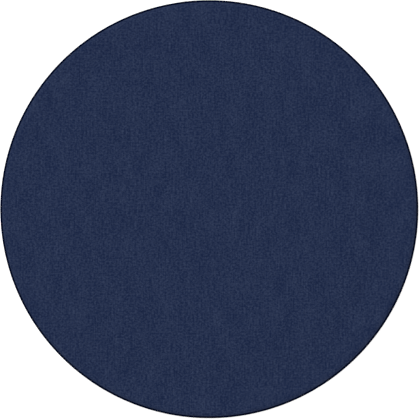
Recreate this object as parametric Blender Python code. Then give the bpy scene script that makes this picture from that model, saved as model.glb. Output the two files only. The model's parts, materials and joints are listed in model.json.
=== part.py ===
"""A round boxed seat cushion with piped edges and a zip round its back, piece by piece.

The cushion stands on z = 0 with its axis on +Z, its front at -Y and its zip round the +Y side.
Fabric pieces are shells with their seam allowances turned in. The fillings are separate layers.
The slider travels round the cushion's axis, and its pull swings on the slider's arch.
"""

import math

import bmesh
import bpy

# Overall sizes
DIAMETER = 0.400  # across the piping, the widest part
HEIGHT = 0.050  # from the surface it lies on to the top panel
SEGMENTS = 48  # facets in a full turn

# Cloths, and the clearance kept between pieces that touch
GAP = 0.0003
COVER_CLOTH = 0.0011
PIPING_CLOTH = 0.0006
TAPE_CLOTH = 0.0006

# Edge: the panel's rounded shoulder bulges over the piping
PIPING_DIAMETER = 0.0040
PIPING_SHOW = 0.0015  # how far the piping stands out past the panel
SEAM_ALLOWANCE = 0.0050
SHOULDER_WIDTH = 0.0050
SHOULDER_HEIGHT = 0.0030
SHOULDER_TUCK = 0.0018  # height of the fabric's return under the shoulder
BAND_BULGE = 0.0010

# Fillings and grip
WADDING = 0.0040
COMFORT_FOAM = 0.0110
GRIP_HEIGHT = 0.0008
GRIP_MARGIN = 0.0055  # from the field of dots out to where the base panel curves up

# Zip
ZIP_START = 7.5  # degrees from +X to where the zip begins, and the same short of -X at its end
TAPE_PAST_HEM = 0.0010  # how far a tape reaches beyond the hem that it's sewn to
COIL_WIDTH = 0.0028
COIL_THICKNESS = 0.0016
COIL_SPLIT = 0.0012  # between the two coils, where the slider's post runs
TAPE_SETBACK = 0.0002  # from a coil's edge in to its tape's
CHANNEL_CLEARANCE = 0.0008  # from the slider or an end tab to the folded strips beside it
HEM = 0.0030
TAB_LENGTH = 0.0120

# Slider and pull
SLIDER_LENGTH = 0.0110
SLIDER_WING = 0.0011
SLIDER_FLANGE = 0.0008
SLIDER_FLARE = 0.0006  # how much wider each side is at the leading end
SLIDER_PLAY = 0.0006  # between a wing and the coils
SLIDER_SIDE_PLAY = 0.0004  # between a flange and the coils
SLIDER_REAR_PLAY = 0.0009  # behind the tapes, which run in flat facets
SLIDER_PARK = 0.0015  # between the parked slider and the end tab
POST_PLAY = 0.0003
POST_LENGTH = 0.0025
ARCH_INSET = 0.0001  # from the piping's outermost line in to the arch
ARCH_BAR = 0.0007
ARCH_WIDTH = 0.0016
ARCH_LENGTH = 0.0064
ARCH_LEG = 0.0012
PULL_PLAY = 0.0002  # between the pull's bar and the arch
WINDOW_PLAY = 0.0005  # between the pull's window and the arch's sides
WINDOW_REACH = 0.0011  # between the window's far end and the arch's foot
PULL_THICKNESS = 0.0011
PULL_WALL = 0.0012  # beside the window
PULL_WIDTH = 0.0060
PULL_LENGTH = 0.0180
PULL_HOLE_RADIUS = 0.0014
OVERLAP = 0.0001  # how far fused pieces run into each other

# Places worked out from those sizes: heights first, then radii from the outside in
RADIUS = DIAMETER / 2
BASE_Z = GRIP_HEIGHT + GAP
MIRROR_Z = HEIGHT + BASE_Z  # z and MIRROR_Z - z are the same place on the top and base edges
MID_Z = MIRROR_Z / 2

PIPING_R = PIPING_DIAMETER / 2
PIPING_CENTRE_R = RADIUS - PIPING_R
LIP_Z = HEIGHT - SHOULDER_HEIGHT - SHOULDER_TUCK
PIPING_Z = LIP_Z - GAP - PIPING_R
SEAM_R = PIPING_CENTRE_R - PIPING_R - GAP
ALLOWANCE_R = SEAM_R - SEAM_ALLOWANCE
TURN_R = PIPING_CENTRE_R - 0.8 * PIPING_R  # where a panel turns in beside the piping
FLANGE_HALF = GAP / 2 + PIPING_CLOTH
ALLOWANCE_Z = PIPING_Z + FLANGE_HALF + GAP  # underside of the panel's turned-in edge
BAND_TOP_Z = PIPING_Z - FLANGE_HALF - GAP  # top of the band's turned-in edge
PANEL_R = RADIUS - PIPING_SHOW
FLAT_R = PANEL_R - SHOULDER_WIDTH
GRIP_RADIUS = FLAT_R - GRIP_MARGIN
BAND_R = PANEL_R
BAND_EDGE_R = BAND_R - BAND_BULGE
BAND_EDGE_Z = PIPING_Z - PIPING_R - GAP - COVER_CLOTH

ARCH_OUT_R = RADIUS - ARCH_INSET
ARCH_IN_R = ARCH_OUT_R - ARCH_BAR
BAR_CORNER = PULL_THICKNESS / math.sqrt(2)  # from the pull's axis to its square bar's corners
PIVOT_R = ARCH_IN_R - BAR_CORNER - PULL_PLAY
WING_OUT_R = PIVOT_R - BAR_CORNER - PULL_PLAY
WING_IN_R = WING_OUT_R - SLIDER_WING
COIL_OUT_R = WING_IN_R - SLIDER_PLAY
COIL_IN_R = COIL_OUT_R - COIL_THICKNESS
TAPE_OUT_R = COIL_IN_R - GAP
TAPE_IN_R = TAPE_OUT_R - TAPE_CLOTH
REAR_OUT_R = TAPE_IN_R - SLIDER_REAR_PLAY
REAR_IN_R = REAR_OUT_R - SLIDER_WING
HEM_IN_R = TAPE_OUT_R + GAP
HEM_OUT_R = HEM_IN_R + 2 * COVER_CLOTH
FOAM_R = min(REAR_IN_R, ALLOWANCE_R) - 2 * GAP

WADDING_TOP_Z = HEIGHT - COVER_CLOTH - GAP
WADDING_LOW_Z = WADDING_TOP_Z - WADDING
FOAM_SPLIT_Z = WADDING_LOW_Z - GAP - COMFORT_FOAM

# Heights in the zip, measured from its middle line
COIL_NEAR = COIL_SPLIT / 2
COIL_FAR = COIL_NEAR + COIL_WIDTH
TAPE_NEAR = COIL_NEAR + TAPE_SETBACK
FLANGE_IN = COIL_FAR + SLIDER_SIDE_PLAY
SLIDER_NARROW = FLANGE_IN + SLIDER_FLANGE
SLIDER_WIDE = SLIDER_NARROW + SLIDER_FLARE
FOLD = SLIDER_WIDE + CHANNEL_CLEARANCE
POST_HALF = COIL_NEAR - POST_PLAY
HEM_EDGE = FOLD + HEM
TAPE_FAR = HEM_EDGE + TAPE_PAST_HEM
WINDOW_HALF = ARCH_WIDTH / 2 + WINDOW_PLAY

TAB_ANGLE = math.degrees(TAB_LENGTH / COIL_OUT_R)
REST_ANGLE = ZIP_START + TAB_ANGLE + math.degrees((SLIDER_LENGTH / 2 + SLIDER_PARK) / COIL_OUT_R)
TRAVEL = 180 - 2 * REST_ANGLE

# Colours as linear RGB, roughness, metallic
FINISHES = {
    "navy_cloth": ((0.019, 0.031, 0.075), 0.90, 0.0),
    "piping_cloth": ((0.002, 0.004, 0.014), 0.85, 0.0),
    "base_cloth": ((0.012, 0.018, 0.040), 0.92, 0.0),
    "cotton_cord": ((0.70, 0.67, 0.60), 0.95, 0.0),
    "zip_tape": ((0.012, 0.019, 0.050), 0.85, 0.0),
    "zip_nylon": ((0.010, 0.016, 0.045), 0.45, 0.0),
    "zip_metal": ((0.030, 0.034, 0.045), 0.40, 1.0),
    "comfort_foam": ((0.78, 0.72, 0.50), 0.95, 0.0),
    "support_foam": ((0.55, 0.60, 0.64), 0.95, 0.0),
    "wadding": ((0.86, 0.86, 0.85), 1.0, 0.0),
    "grip_rubber": ((0.010, 0.012, 0.018), 0.60, 0.0),
}


def clear_scene():
    for old in list(bpy.data.objects):
        bpy.data.objects.remove(old)


def finish_of(name):
    """The Principled material of that name."""
    made = bpy.data.materials.get(name)
    if made:
        return made
    colour, roughness, metallic = FINISHES[name]
    made = bpy.data.materials.new(name)
    made.use_nodes = True
    shader = made.node_tree.nodes["Principled BSDF"]
    shader.inputs["Base Color"].default_value = (*colour, 1.0)
    shader.inputs["Roughness"].default_value = roughness
    shader.inputs["Metallic"].default_value = metallic
    return made


def object_from(name, solid, finish):
    """An object holding the bmesh, shaded smooth but for its sharp edges."""
    bmesh.ops.recalc_face_normals(solid, faces=solid.faces)
    mesh = bpy.data.meshes.new(name)
    solid.to_mesh(mesh)
    solid.free()
    mesh.shade_smooth()
    mesh.set_sharp_from_angle(angle=math.radians(35))
    mesh.materials.append(finish_of(finish))
    made = bpy.data.objects.new(name, mesh)
    bpy.context.scene.collection.objects.link(made)
    return made


def turned(name, profile, finish, start=0.0, end=360.0):
    """The profile of (radius, height) points turned round Z from start to end, in degrees.

    A profile whose ends lie on the axis makes a disc, and any other is a closed ring section.
    An arc is drawn in half a gap at each end, and its ends are capped.
    """
    whole = end - start >= 360
    steps = round(SEGMENTS * (end - start) / 360)
    first, sweep = math.radians(start), math.radians(end - start)
    if not whole:
        inset = GAP / 2 / profile[0][0]
        first, sweep = first + inset, sweep - 2 * inset
    solid = bmesh.new()
    points = [solid.verts.new((r * math.cos(first), r * math.sin(first), z)) for r, z in profile]
    disc = profile[0][0] == 0
    pairs = zip(points, points[1:] if disc else points[1:] + points[:1])
    edges = [solid.edges.new(pair) for pair in pairs]
    bmesh.ops.spin(
        solid,
        geom=points + edges,
        cent=(0, 0, 0),
        axis=(0, 0, 1),
        angle=sweep,
        steps=max(1, steps),
        use_merge=whole,
    )
    bmesh.ops.remove_doubles(solid, verts=solid.verts, dist=1e-7)
    open_edges = [edge for edge in solid.edges if edge.is_boundary]
    if open_edges:
        bmesh.ops.holes_fill(solid, edges=open_edges, sides=0)
    return object_from(name, solid, finish)


def prism(name, outline, along, low, high, finish):
    """The outline drawn across the other two axes and extruded along 'X', 'Y' or 'Z'."""
    place = {
        "X": lambda a, b, c: (c, a, b),
        "Y": lambda a, b, c: (a, c, b),
        "Z": lambda a, b, c: (a, b, c),
    }[along]
    solid = bmesh.new()
    face = solid.faces.new([solid.verts.new(place(a, b, low)) for a, b in outline])
    raised = bmesh.ops.extrude_face_region(solid, geom=[face])["geom"]
    step = [h - l for h, l in zip(place(0, 0, high), place(0, 0, low))]
    moved = [item for item in raised if isinstance(item, bmesh.types.BMVert)]
    bmesh.ops.translate(solid, verts=moved, vec=step)
    return object_from(name, solid, finish)


def rectangle(low_a, high_a, low_b, high_b):
    return [(low_a, low_b), (high_a, low_b), (high_a, high_b), (low_a, high_b)]


def circle(a, b, radius, count):
    turns = [math.tau * i / count for i in range(count)]
    return [(a + radius * math.cos(t), b + radius * math.sin(t)) for t in turns]


def combine(target, operation, helpers):
    """Joins or cuts with helper objects, which stay hidden and move with the target's parent."""
    for helper in helpers:
        helper.hide_render = True
        helper.display_type = "WIRE"
        step = target.modifiers.new(helper.name, "BOOLEAN")
        step.operation = operation
        step.solver = "EXACT"
        step.object = helper


def mirrored(profile):
    """The same section on the cushion's base edge."""
    return [(r, MIRROR_Z - z) for r, z in profile]


def panel_section():
    """Half section of the top panel: its face, shoulder, return and turned-in edge, then back inside."""
    outer_turns = [math.radians(90 - 30 * i) for i in range(4)]
    shoulder_z = HEIGHT - SHOULDER_HEIGHT
    outer = [
        (FLAT_R + SHOULDER_WIDTH * math.cos(t), shoulder_z + SHOULDER_HEIGHT * math.sin(t))
        for t in outer_turns
    ]
    thin_width = SHOULDER_WIDTH - COVER_CLOTH
    thin_height = SHOULDER_HEIGHT - COVER_CLOTH
    inner = [
        (FLAT_R + thin_width * math.cos(t), shoulder_z + thin_height * math.sin(t))
        for t in reversed(outer_turns)
    ]
    under = [
        (PANEL_R - SHOULDER_TUCK / 3, LIP_Z),
        (TURN_R, LIP_Z),
        (SEAM_R, ALLOWANCE_Z),
        (ALLOWANCE_R, ALLOWANCE_Z),
        (ALLOWANCE_R, ALLOWANCE_Z + COVER_CLOTH),
        (SEAM_R - GAP, ALLOWANCE_Z + COVER_CLOTH),
        (TURN_R, LIP_Z + COVER_CLOTH),
    ]
    return [(0, HEIGHT)] + outer + under + inner + [(0, HEIGHT - COVER_CLOTH)]


def piping_section():
    """The bias strip folded round its cord, with both edges running in as a flange."""
    outer_turns = [math.radians(a) for a in (135, 90, 45, 0, -45, -90, -135)]
    inner_turns = [math.radians(a) for a in (-120, -60, 0, 60, 120)]
    inner_r = PIPING_R - PIPING_CLOTH
    outer = [
        (PIPING_CENTRE_R + PIPING_R * math.cos(t), PIPING_Z + PIPING_R * math.sin(t))
        for t in outer_turns
    ]
    inner = [
        (PIPING_CENTRE_R + inner_r * math.cos(t), PIPING_Z + inner_r * math.sin(t))
        for t in inner_turns
    ]
    mouth_r = PIPING_CENTRE_R - 0.8 * inner_r
    return (
        [(ALLOWANCE_R, PIPING_Z + FLANGE_HALF), (SEAM_R, PIPING_Z + FLANGE_HALF)]
        + outer
        + [(SEAM_R, PIPING_Z - FLANGE_HALF), (ALLOWANCE_R, PIPING_Z - FLANGE_HALF)]
        + [(ALLOWANCE_R, PIPING_Z - GAP / 2), (mouth_r, PIPING_Z - GAP / 2)]
        + inner
        + [(mouth_r, PIPING_Z + GAP / 2), (ALLOWANCE_R, PIPING_Z + GAP / 2)]
    )


def band_radius(z):
    """The band's outer radius at that height: a parabola, fullest half way up."""
    share = (z - MID_Z) / (BAND_EDGE_Z - MID_Z)
    return BAND_R - BAND_BULGE * share**2


def band_edge():
    """The turned-in top edge of the band and the strips: its outer points, and its inner ones."""
    outer = [
        (ALLOWANCE_R, BAND_TOP_Z),
        (SEAM_R, BAND_TOP_Z),
        (TURN_R, PIPING_Z - PIPING_R - GAP),
        (BAND_EDGE_R, BAND_EDGE_Z),
    ]
    inner = [
        (BAND_EDGE_R - COVER_CLOTH, BAND_EDGE_Z),
        (SEAM_R - COVER_CLOTH / 2, BAND_TOP_Z - COVER_CLOTH),
        (ALLOWANCE_R, BAND_TOP_Z - COVER_CLOTH),
    ]
    return outer, inner


def front_band():
    outer, inner = band_edge()
    share = (BAND_EDGE_Z - MID_Z) / 2
    heights = (MID_Z + share, MID_Z, MID_Z - share)
    bulge = [(band_radius(z), z) for z in heights]
    hollow = [(band_radius(z) - COVER_CLOTH, z) for z in reversed(heights)]
    lower_outer, lower_inner = mirrored(outer)[::-1], mirrored(inner)[::-1]
    section = outer + bulge + lower_outer + lower_inner + hollow + inner
    turned("front_band", section, "navy_cloth", 180 - ZIP_START, 360 + ZIP_START)


def zip_band_section():
    """The strip above the zip: its top edge, its sloping face and the double hem beside the zip."""
    outer, inner = band_edge()
    fold_z = MID_Z + FOLD
    hem_z = MID_Z + HEM_EDGE
    softened = COVER_CLOTH / 2
    face = [(HEM_OUT_R, hem_z), (HEM_OUT_R, fold_z + softened), (HEM_OUT_R - softened, fold_z)]
    back = [
        (HEM_IN_R, fold_z),
        (HEM_IN_R, hem_z),
        (HEM_OUT_R - COVER_CLOTH, hem_z + softened),
    ]
    return outer + face + back + inner


def cover():
    turned("top_panel", panel_section(), "navy_cloth")
    turned("base_panel", mirrored(panel_section()), "base_cloth")
    front_band()
    strip = zip_band_section()
    turned("zip_band_upper", strip, "navy_cloth", ZIP_START, 180 - ZIP_START)
    turned("zip_band_lower", mirrored(strip), "navy_cloth", ZIP_START, 180 - ZIP_START)


def piping():
    cord_r = PIPING_R - PIPING_CLOTH - GAP - GAP / 2
    cord = circle(PIPING_CENTRE_R, PIPING_Z, cord_r, 6)
    turned("top_piping_cover", piping_section(), "piping_cloth")
    turned("top_piping_cord", cord, "cotton_cord")
    turned("base_piping_cover", mirrored(piping_section()), "piping_cloth")
    turned("base_piping_cord", mirrored(cord), "cotton_cord")


def wadding_section():
    """Half section of the top wadding, which swells out to fill the panel's shoulder."""
    wing_z = ALLOWANCE_Z + COVER_CLOTH + GAP
    return [
        (0, WADDING_TOP_Z),
        (FLAT_R - 2 * GAP, WADDING_TOP_Z),
        (TURN_R, LIP_Z + COVER_CLOTH + 2 * GAP),
        (SEAM_R - 2 * GAP - GAP / 2, wing_z),
        (FOAM_R, wing_z),
        (FOAM_R, WADDING_LOW_Z),
        (0, WADDING_LOW_Z),
    ]


def slab(top, low):
    return [(0, top), (FOAM_R, top), (FOAM_R, low), (0, low)]


def filling():
    turned("top_wadding", wadding_section(), "wadding")
    turned("comfort_foam", slab(WADDING_LOW_Z - GAP, FOAM_SPLIT_Z), "comfort_foam")
    turned("support_foam", slab(FOAM_SPLIT_Z - GAP, MIRROR_Z - WADDING_LOW_Z + GAP), "support_foam")
    turned("base_wadding", mirrored(wadding_section()), "wadding")
    high_z = BAND_EDGE_Z - GAP
    low_z = MIRROR_Z - high_z
    inset = COVER_CLOTH + 2 * GAP
    side = [
        (FOAM_R + GAP, high_z),
        (BAND_EDGE_R - inset, high_z),
        (BAND_R - inset, MID_Z),
        (BAND_EDGE_R - inset, low_z),
        (FOAM_R + GAP, low_z),
    ]
    turned("side_wadding", side, "wadding", 180 - ZIP_START, 360 + ZIP_START)


def grip():
    section = [(0, GRIP_HEIGHT), (GRIP_RADIUS, GRIP_HEIGHT), (GRIP_RADIUS, 0), (0, 0)]
    turned("grip_dots", section, "grip_rubber")


def zip_chain():
    tape = rectangle(TAPE_IN_R, TAPE_OUT_R, MID_Z + TAPE_NEAR, MID_Z + TAPE_FAR)
    near_z = MID_Z + COIL_NEAR
    far_z = MID_Z + COIL_FAR
    rounded = COIL_THICKNESS / 4
    coil = [
        (COIL_IN_R, near_z + rounded),
        (COIL_IN_R, far_z - rounded),
        (COIL_IN_R + rounded, far_z),
        (COIL_OUT_R - rounded, far_z),
        (COIL_OUT_R, far_z - rounded),
        (COIL_OUT_R, near_z + rounded),
        (COIL_OUT_R - rounded, near_z),
        (COIL_IN_R + rounded, near_z),
    ]
    for name, section in (("upper", tape), ("lower", mirrored(tape))):
        turned(f"zip_tape_{name}", section, "zip_tape", ZIP_START, 180 - ZIP_START)
    for name, section in (("upper", coil), ("lower", mirrored(coil))):
        turned(f"zip_coil_{name}", section, "zip_nylon", ZIP_START, 180 - ZIP_START)
    half = FOLD - CHANNEL_CLEARANCE
    tab_in = COIL_OUT_R + GAP
    tab = rectangle(tab_in, tab_in + COVER_CLOTH, MID_Z - half, MID_Z + half)
    turned("zip_end_tab_right", tab, "navy_cloth", ZIP_START, ZIP_START + TAB_ANGLE)
    turned("zip_end_tab_left", tab, "navy_cloth", 180 - ZIP_START - TAB_ANGLE, 180 - ZIP_START)


def wing_outline():
    """A slider wing seen from outside the cushion: wider at the end that leads when it closes."""
    half = SLIDER_LENGTH / 2
    corner = SLIDER_WING
    upper = [
        (-half, SLIDER_WIDE - corner),
        (-half + corner, SLIDER_WIDE),
        (0, SLIDER_NARROW),
        (half - corner, SLIDER_NARROW),
        (half, SLIDER_NARROW - corner),
    ]
    return upper + [(along, -across) for along, across in reversed(upper)]


def slider(parent):
    """Two wings joined by the post, flanges round the coils, and the arch that holds the pull."""
    body = prism("zip_slider_body", wing_outline(), "X", WING_IN_R, WING_OUT_R, "zip_metal")
    rear = prism("slider_rear_wing", wing_outline(), "X", REAR_IN_R, REAR_OUT_R, "zip_metal")
    half = SLIDER_LENGTH / 2 - SLIDER_WING
    flange_low = TAPE_OUT_R + SLIDER_PLAY
    flanges = [
        prism(
            f"slider_flange_{side}",
            rectangle(-half, half, *sorted((sign * FLANGE_IN, sign * (SLIDER_NARROW - OVERLAP)))),
            "X",
            flange_low,
            WING_IN_R + OVERLAP,
            "zip_metal",
        )
        for side, sign in (("upper", 1), ("lower", -1))
    ]
    post = prism(
        "slider_post",
        rectangle(-half, -half + POST_LENGTH, -POST_HALF, POST_HALF),
        "X",
        REAR_OUT_R - OVERLAP,
        WING_IN_R + OVERLAP,
        "zip_metal",
    )
    foot, outside, inside = WING_OUT_R - OVERLAP, ARCH_LENGTH / 2, ARCH_LENGTH / 2 - ARCH_LEG
    arch_outline = [
        (foot, -outside),
        (ARCH_OUT_R, -outside + ARCH_BAR),
        (ARCH_OUT_R, outside - ARCH_BAR),
        (foot, outside),
        (foot, inside),
        (ARCH_IN_R, inside),
        (ARCH_IN_R, -inside),
        (foot, -inside),
    ]
    arch = prism("slider_arch", arch_outline, "Z", -ARCH_WIDTH / 2, ARCH_WIDTH / 2, "zip_metal")
    helpers = [rear, post, *flanges, arch]
    combine(body, "UNION", helpers)
    for piece in [body, *helpers]:
        piece.parent = parent


def pull(parent):
    """A plate whose window leaves a bar at its near end, which turns in the slider's arch."""
    bar = PULL_THICKNESS / 2
    neck, half = WINDOW_HALF + PULL_WALL, PULL_WIDTH / 2
    window_end = ARCH_LENGTH / 2 + WINDOW_REACH
    shoulder = window_end + neck
    end = PULL_LENGTH - half
    tip = [(end + half * math.cos(t), half * math.sin(t)) for t in map(math.radians, (-60, -30, 0, 30, 60))]
    outline = [(-bar, -neck), (shoulder, -neck), (shoulder + half / 2, -half), (end, -half)]
    outline = outline + tip + [(across, -along) for across, along in reversed(outline)]
    plate = prism("zip_pull", outline, "X", -bar, bar, "zip_metal")
    window = prism(
        "pull_window",
        rectangle(bar, window_end, -WINDOW_HALF, WINDOW_HALF),
        "X",
        -PULL_THICKNESS,
        PULL_THICKNESS,
        "zip_metal",
    )
    hole_outline = circle(end, 0, PULL_HOLE_RADIUS, 10)
    hole = prism("pull_hole", hole_outline, "X", -PULL_THICKNESS, PULL_THICKNESS, "zip_metal")
    combine(plate, "DIFFERENCE", [window, hole])
    for piece in (plate, window, hole):
        piece.parent = parent


def axis_empty(name, place, turn, parent=None):
    """An empty standing on a joint's axis."""
    made = bpy.data.objects.new(name, None)
    bpy.context.scene.collection.objects.link(made)
    made.location = place
    made.rotation_euler = (0, 0, math.radians(turn))
    made.parent = parent
    return made


def slider_and_pull():
    slide_axis = axis_empty("slide_axis", (0, 0, MID_Z), REST_ANGLE)
    pull_axis = axis_empty("pull_axis", (PIVOT_R, 0, 0), 0, slide_axis)
    slider(slide_axis)
    pull(pull_axis)


def main():
    clear_scene()
    cover()
    piping()
    filling()
    grip()
    zip_chain()
    slider_and_pull()
    turn = math.radians(REST_ANGLE)
    print(f"zip slider rests at {REST_ANGLE:.3f} degrees and travels {TRAVEL:.3f}")
    print(f"pull pivot at {PIVOT_R * math.cos(turn):.6f}, {PIVOT_R * math.sin(turn):.6f}, {MID_Z:.6f}")


main()
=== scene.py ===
# %% [markdown]
# # A round seat cushion
# A boxed cushion is sewn from flat cloth: a round panel on top, one below, and a band between them,
# with a piping in each seam. A zip round the back lets the cover come off its foam.
# The solids that set every size and joint are already made, so this file starts by loading them.
# It then dresses each one: every piece here stands for a solid, and keeps its place.

# %% load the frame
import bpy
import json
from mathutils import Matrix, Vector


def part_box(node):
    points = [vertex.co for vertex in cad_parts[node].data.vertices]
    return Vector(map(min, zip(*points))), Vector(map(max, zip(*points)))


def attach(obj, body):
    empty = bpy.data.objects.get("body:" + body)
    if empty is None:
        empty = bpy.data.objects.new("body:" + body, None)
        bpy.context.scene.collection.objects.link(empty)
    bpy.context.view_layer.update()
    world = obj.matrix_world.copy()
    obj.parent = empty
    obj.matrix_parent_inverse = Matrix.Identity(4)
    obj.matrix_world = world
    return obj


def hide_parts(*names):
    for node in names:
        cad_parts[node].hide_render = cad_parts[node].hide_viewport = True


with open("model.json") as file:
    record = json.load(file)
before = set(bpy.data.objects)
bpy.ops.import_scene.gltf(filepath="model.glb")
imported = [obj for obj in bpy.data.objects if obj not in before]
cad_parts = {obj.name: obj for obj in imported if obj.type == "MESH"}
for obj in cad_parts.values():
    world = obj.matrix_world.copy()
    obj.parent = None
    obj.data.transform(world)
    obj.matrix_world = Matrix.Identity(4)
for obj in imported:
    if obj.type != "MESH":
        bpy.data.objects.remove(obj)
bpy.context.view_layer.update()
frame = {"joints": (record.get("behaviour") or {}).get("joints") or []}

# %% the modules that the cells below use
import json
import math

import bpy
import numpy as np

# %% [markdown]
# ## Sizes
# The main sizes are read from the solids' boxes, so that the look follows them.
# What a box can't tell, such as a radius inside the zip, is a named value in metres.

# %% sizes from the frame
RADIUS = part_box("top_piping_cover")[1][0]
PIPING_LOW, PIPING_HIGH = (corner[2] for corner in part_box("top_piping_cover"))
PIPING_R = (PIPING_HIGH - PIPING_LOW) / 2
PIPING_Z = (PIPING_HIGH + PIPING_LOW) / 2
PIPING_CENTRE_R = RADIUS - PIPING_R
BASE_PIPING_Z = sum(corner[2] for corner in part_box("base_piping_cover")) / 2
MIRROR_Z = PIPING_Z + BASE_PIPING_Z
MID_Z = MIRROR_Z / 2
PANEL_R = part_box("top_panel")[1][0]
ALLOWANCE_Z, TOP_Z = (corner[2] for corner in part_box("top_panel"))
BAND_TOP_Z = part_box("front_band")[1][2]
COIL_OUT_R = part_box("zip_coil_upper")[1][1]
SEAM_R = PIPING_CENTRE_R - PIPING_R - 0.0003
ALLOWANCE_R = SEAM_R - 0.0050
ZIP_START = math.radians(7.5)
ZIP_END = math.pi - ZIP_START
print(f"{2000 * RADIUS:.1f} mm across, {1000 * TOP_Z:.1f} mm thick, zip at {1000 * MID_Z:.2f} mm")

# %% cloth thicknesses
COVER_CLOTH = 0.0011
PIPING_CLOTH = 0.0006

# %% [markdown]
# ## Camera
# A cushion laid flat is best seen from straight above, where its outline is a true circle.
# A long lens from far away keeps the sides hidden behind the rim. A short lens would show the
# near edge of the top larger than the piping below it, and the piping would vanish.

# %% camera
VIEW_WIDTH = 0.4017
LENS = 500
SENSOR = 36
OFF_CENTRE = (0.0007, -0.0008)

eye = bpy.data.cameras.new("eye")
eye.lens = LENS
eye.sensor_width = SENSOR
camera = bpy.data.objects.new("camera", eye)
bpy.context.scene.collection.objects.link(camera)
camera.location = (*OFF_CENTRE, PIPING_Z + VIEW_WIDTH * LENS / SENSOR)
bpy.context.scene.camera = camera
bpy.context.scene.view_settings.view_transform = "Standard"
print(f"camera {camera.location.z:.2f} m up")

# %% [markdown]
# ## Surfaces as arrays
# Every cloth piece is a surface with two parameters: one runs along its cut profile, the other
# round the cushion. Numpy works out all its points at once, and the mesh takes them in one go.
# Modelling by hand would do for one cushion, but a formula follows when a size changes.

# %% mesh from arrays
def mesh_piece(name, points, faces, uv=None, periods=(0, 0)):
    """An object from an array of points and one of quads, smooth, with its place in its mesh.
    uv holds one pair for each point, in metres along the cloth, and is stored as the map Cloth.
    Where the surface closes on itself, a face takes both its sides from the same turn of the map."""
    points = np.asarray(points, dtype=np.float32).reshape(-1, 3)
    mesh = bpy.data.meshes.new(name)
    mesh.from_pydata(points, [], faces.tolist())
    if uv is not None:
        corners = np.asarray(uv, dtype=float).reshape(-1, 2)[faces]
        for axis, period in enumerate(periods):
            behind = corners[..., axis].max(axis=1, keepdims=True) - corners[..., axis] > period / 2
            corners[..., axis] += period * behind
        mesh.uv_layers.new(name="Cloth").data.foreach_set("uv", corners.astype(np.float32).ravel())
    mesh.shade_smooth()
    made = bpy.data.objects.new(name, mesh)
    bpy.context.scene.collection.objects.link(made)
    return made


# %% faces of a grid
def grid_faces(rows, columns, join_rows=False, join_columns=False):
    """Quads between neighbours of a grid of rows by columns, joined back to its start if asked."""
    a = np.arange(rows if join_rows else rows - 1)
    b = np.arange(columns if join_columns else columns - 1)
    a, b = np.meshgrid(a, b, indexing="ij")
    next_a, next_b = (a + 1) % rows, (b + 1) % columns
    corners = [a * columns + b, next_a * columns + b, next_a * columns + next_b, a * columns + next_b]
    return np.stack(corners, axis=-1).reshape(-1, 4)


def stacked_faces(rings, sides):
    """Quads of a stack of closed rings, and quads across its first and last ring. sides is even."""
    k = np.arange(sides // 2 - 1)
    cap = np.stack([k, k + 1, sides - 2 - k, sides - 1 - k], axis=-1)
    walls = grid_faces(rings, sides, join_columns=True)
    return np.vstack([walls, cap, cap[:, ::-1] + (rings - 1) * sides])


def facing_out(points, faces, centre=(0, 0, 0)):
    """The faces, turned so that as a whole they look away from the centre, which may be one point
    or one for each vertex. For a closed body this is the sign of its volume."""
    points = np.asarray(points).reshape(-1, 3)
    centre = np.broadcast_to(np.reshape(centre, (-1, 3)), points.shape)[faces[:, 0]]
    a, b, c = points[faces[:, 0]], points[faces[:, 1]], points[faces[:, 2]]
    outward = (np.cross(b - a, c - a) * (a - centre)).sum()
    return faces if outward > 0 else faces[:, ::-1]


def copies(shape, faces, origins, axes):
    """Points and faces of a shape repeated at each origin, turned to the three axes given there."""
    points = origins[:, None, :] + np.einsum("pk,nkc->npc", shape, axes)
    return points.reshape(-1, 3), np.vstack([faces + len(shape) * n for n in range(len(origins))])


def two_faced(upper, lower):
    """Points and faces of a body made of two square grids of points that share their rim."""
    count = len(upper)
    own = np.arange(count**2).reshape(count, count)
    rim = np.ones((count, count), bool)
    rim[1:-1, 1:-1] = False
    quads = grid_faces(count, count)
    below = np.where(rim, own, own + count**2).ravel()[quads[:, ::-1]]
    used, faces = np.unique(np.vstack([quads, below]), return_inverse=True)
    points = np.vstack([upper.reshape(-1, 3), lower.reshape(-1, 3)])[used]
    return points, facing_out(points, faces.reshape(-1, 4))


def arc_steps(start, end, spacing, radius=RADIUS):
    """Angles from start to end, about that far apart along the rim."""
    return np.linspace(start, end, max(3, round((end - start) * radius / spacing) + 1))


def run_along(profile):
    """Distance along a line of points, from 0 at its first."""
    steps = np.linalg.norm(np.diff(profile, axis=0), axis=1)
    return np.concatenate([[0], np.cumsum(steps)])


# %% places round the axis
def polar(radius, angle, height):
    """Points: x is the radius times the angle's cosine, y times its sine, and z is the height."""
    return np.stack(np.broadcast_arrays(radius * np.cos(angle), radius * np.sin(angle), height), axis=-1)


def round_surface(radii, heights, angles):
    """Points of a profile carried round the axis. Radii and heights are one value a row, or one for
    each row and angle."""
    radii, heights = (np.reshape(part, (len(part), -1)) for part in (radii, heights))
    return polar(radii, angles, heights)


# %% a smooth line through points
def smooth_line(points, spacing):
    """Points evenly spaced along a curve through the given ones: between two neighbours, a cubic
    whose slope at each is half the step from the point before to the point after."""
    points = np.asarray(points, dtype=float)
    ends = [2 * points[0] - points[1], 2 * points[-1] - points[-2]]
    p = np.vstack([ends[0], points, ends[1]])
    t = np.linspace(0, 1, 12, endpoint=False)[:, None, None]
    a, b, c, d = p[:-3], p[1:-2], p[2:-1], p[3:]
    curve = b + t / 2 * (c - a + t * (2 * a - 5 * b + 4 * c - d + t * (3 * (b - c) + d - a)))
    curve = np.vstack([curve.transpose(1, 0, 2).reshape(-1, points.shape[1]), points[-1]])
    run = run_along(curve)
    wanted = np.linspace(0, run[-1], max(2, round(run[-1] / spacing) + 1))
    return np.stack([np.interp(wanted, run, column) for column in curve.T], axis=1)


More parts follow.
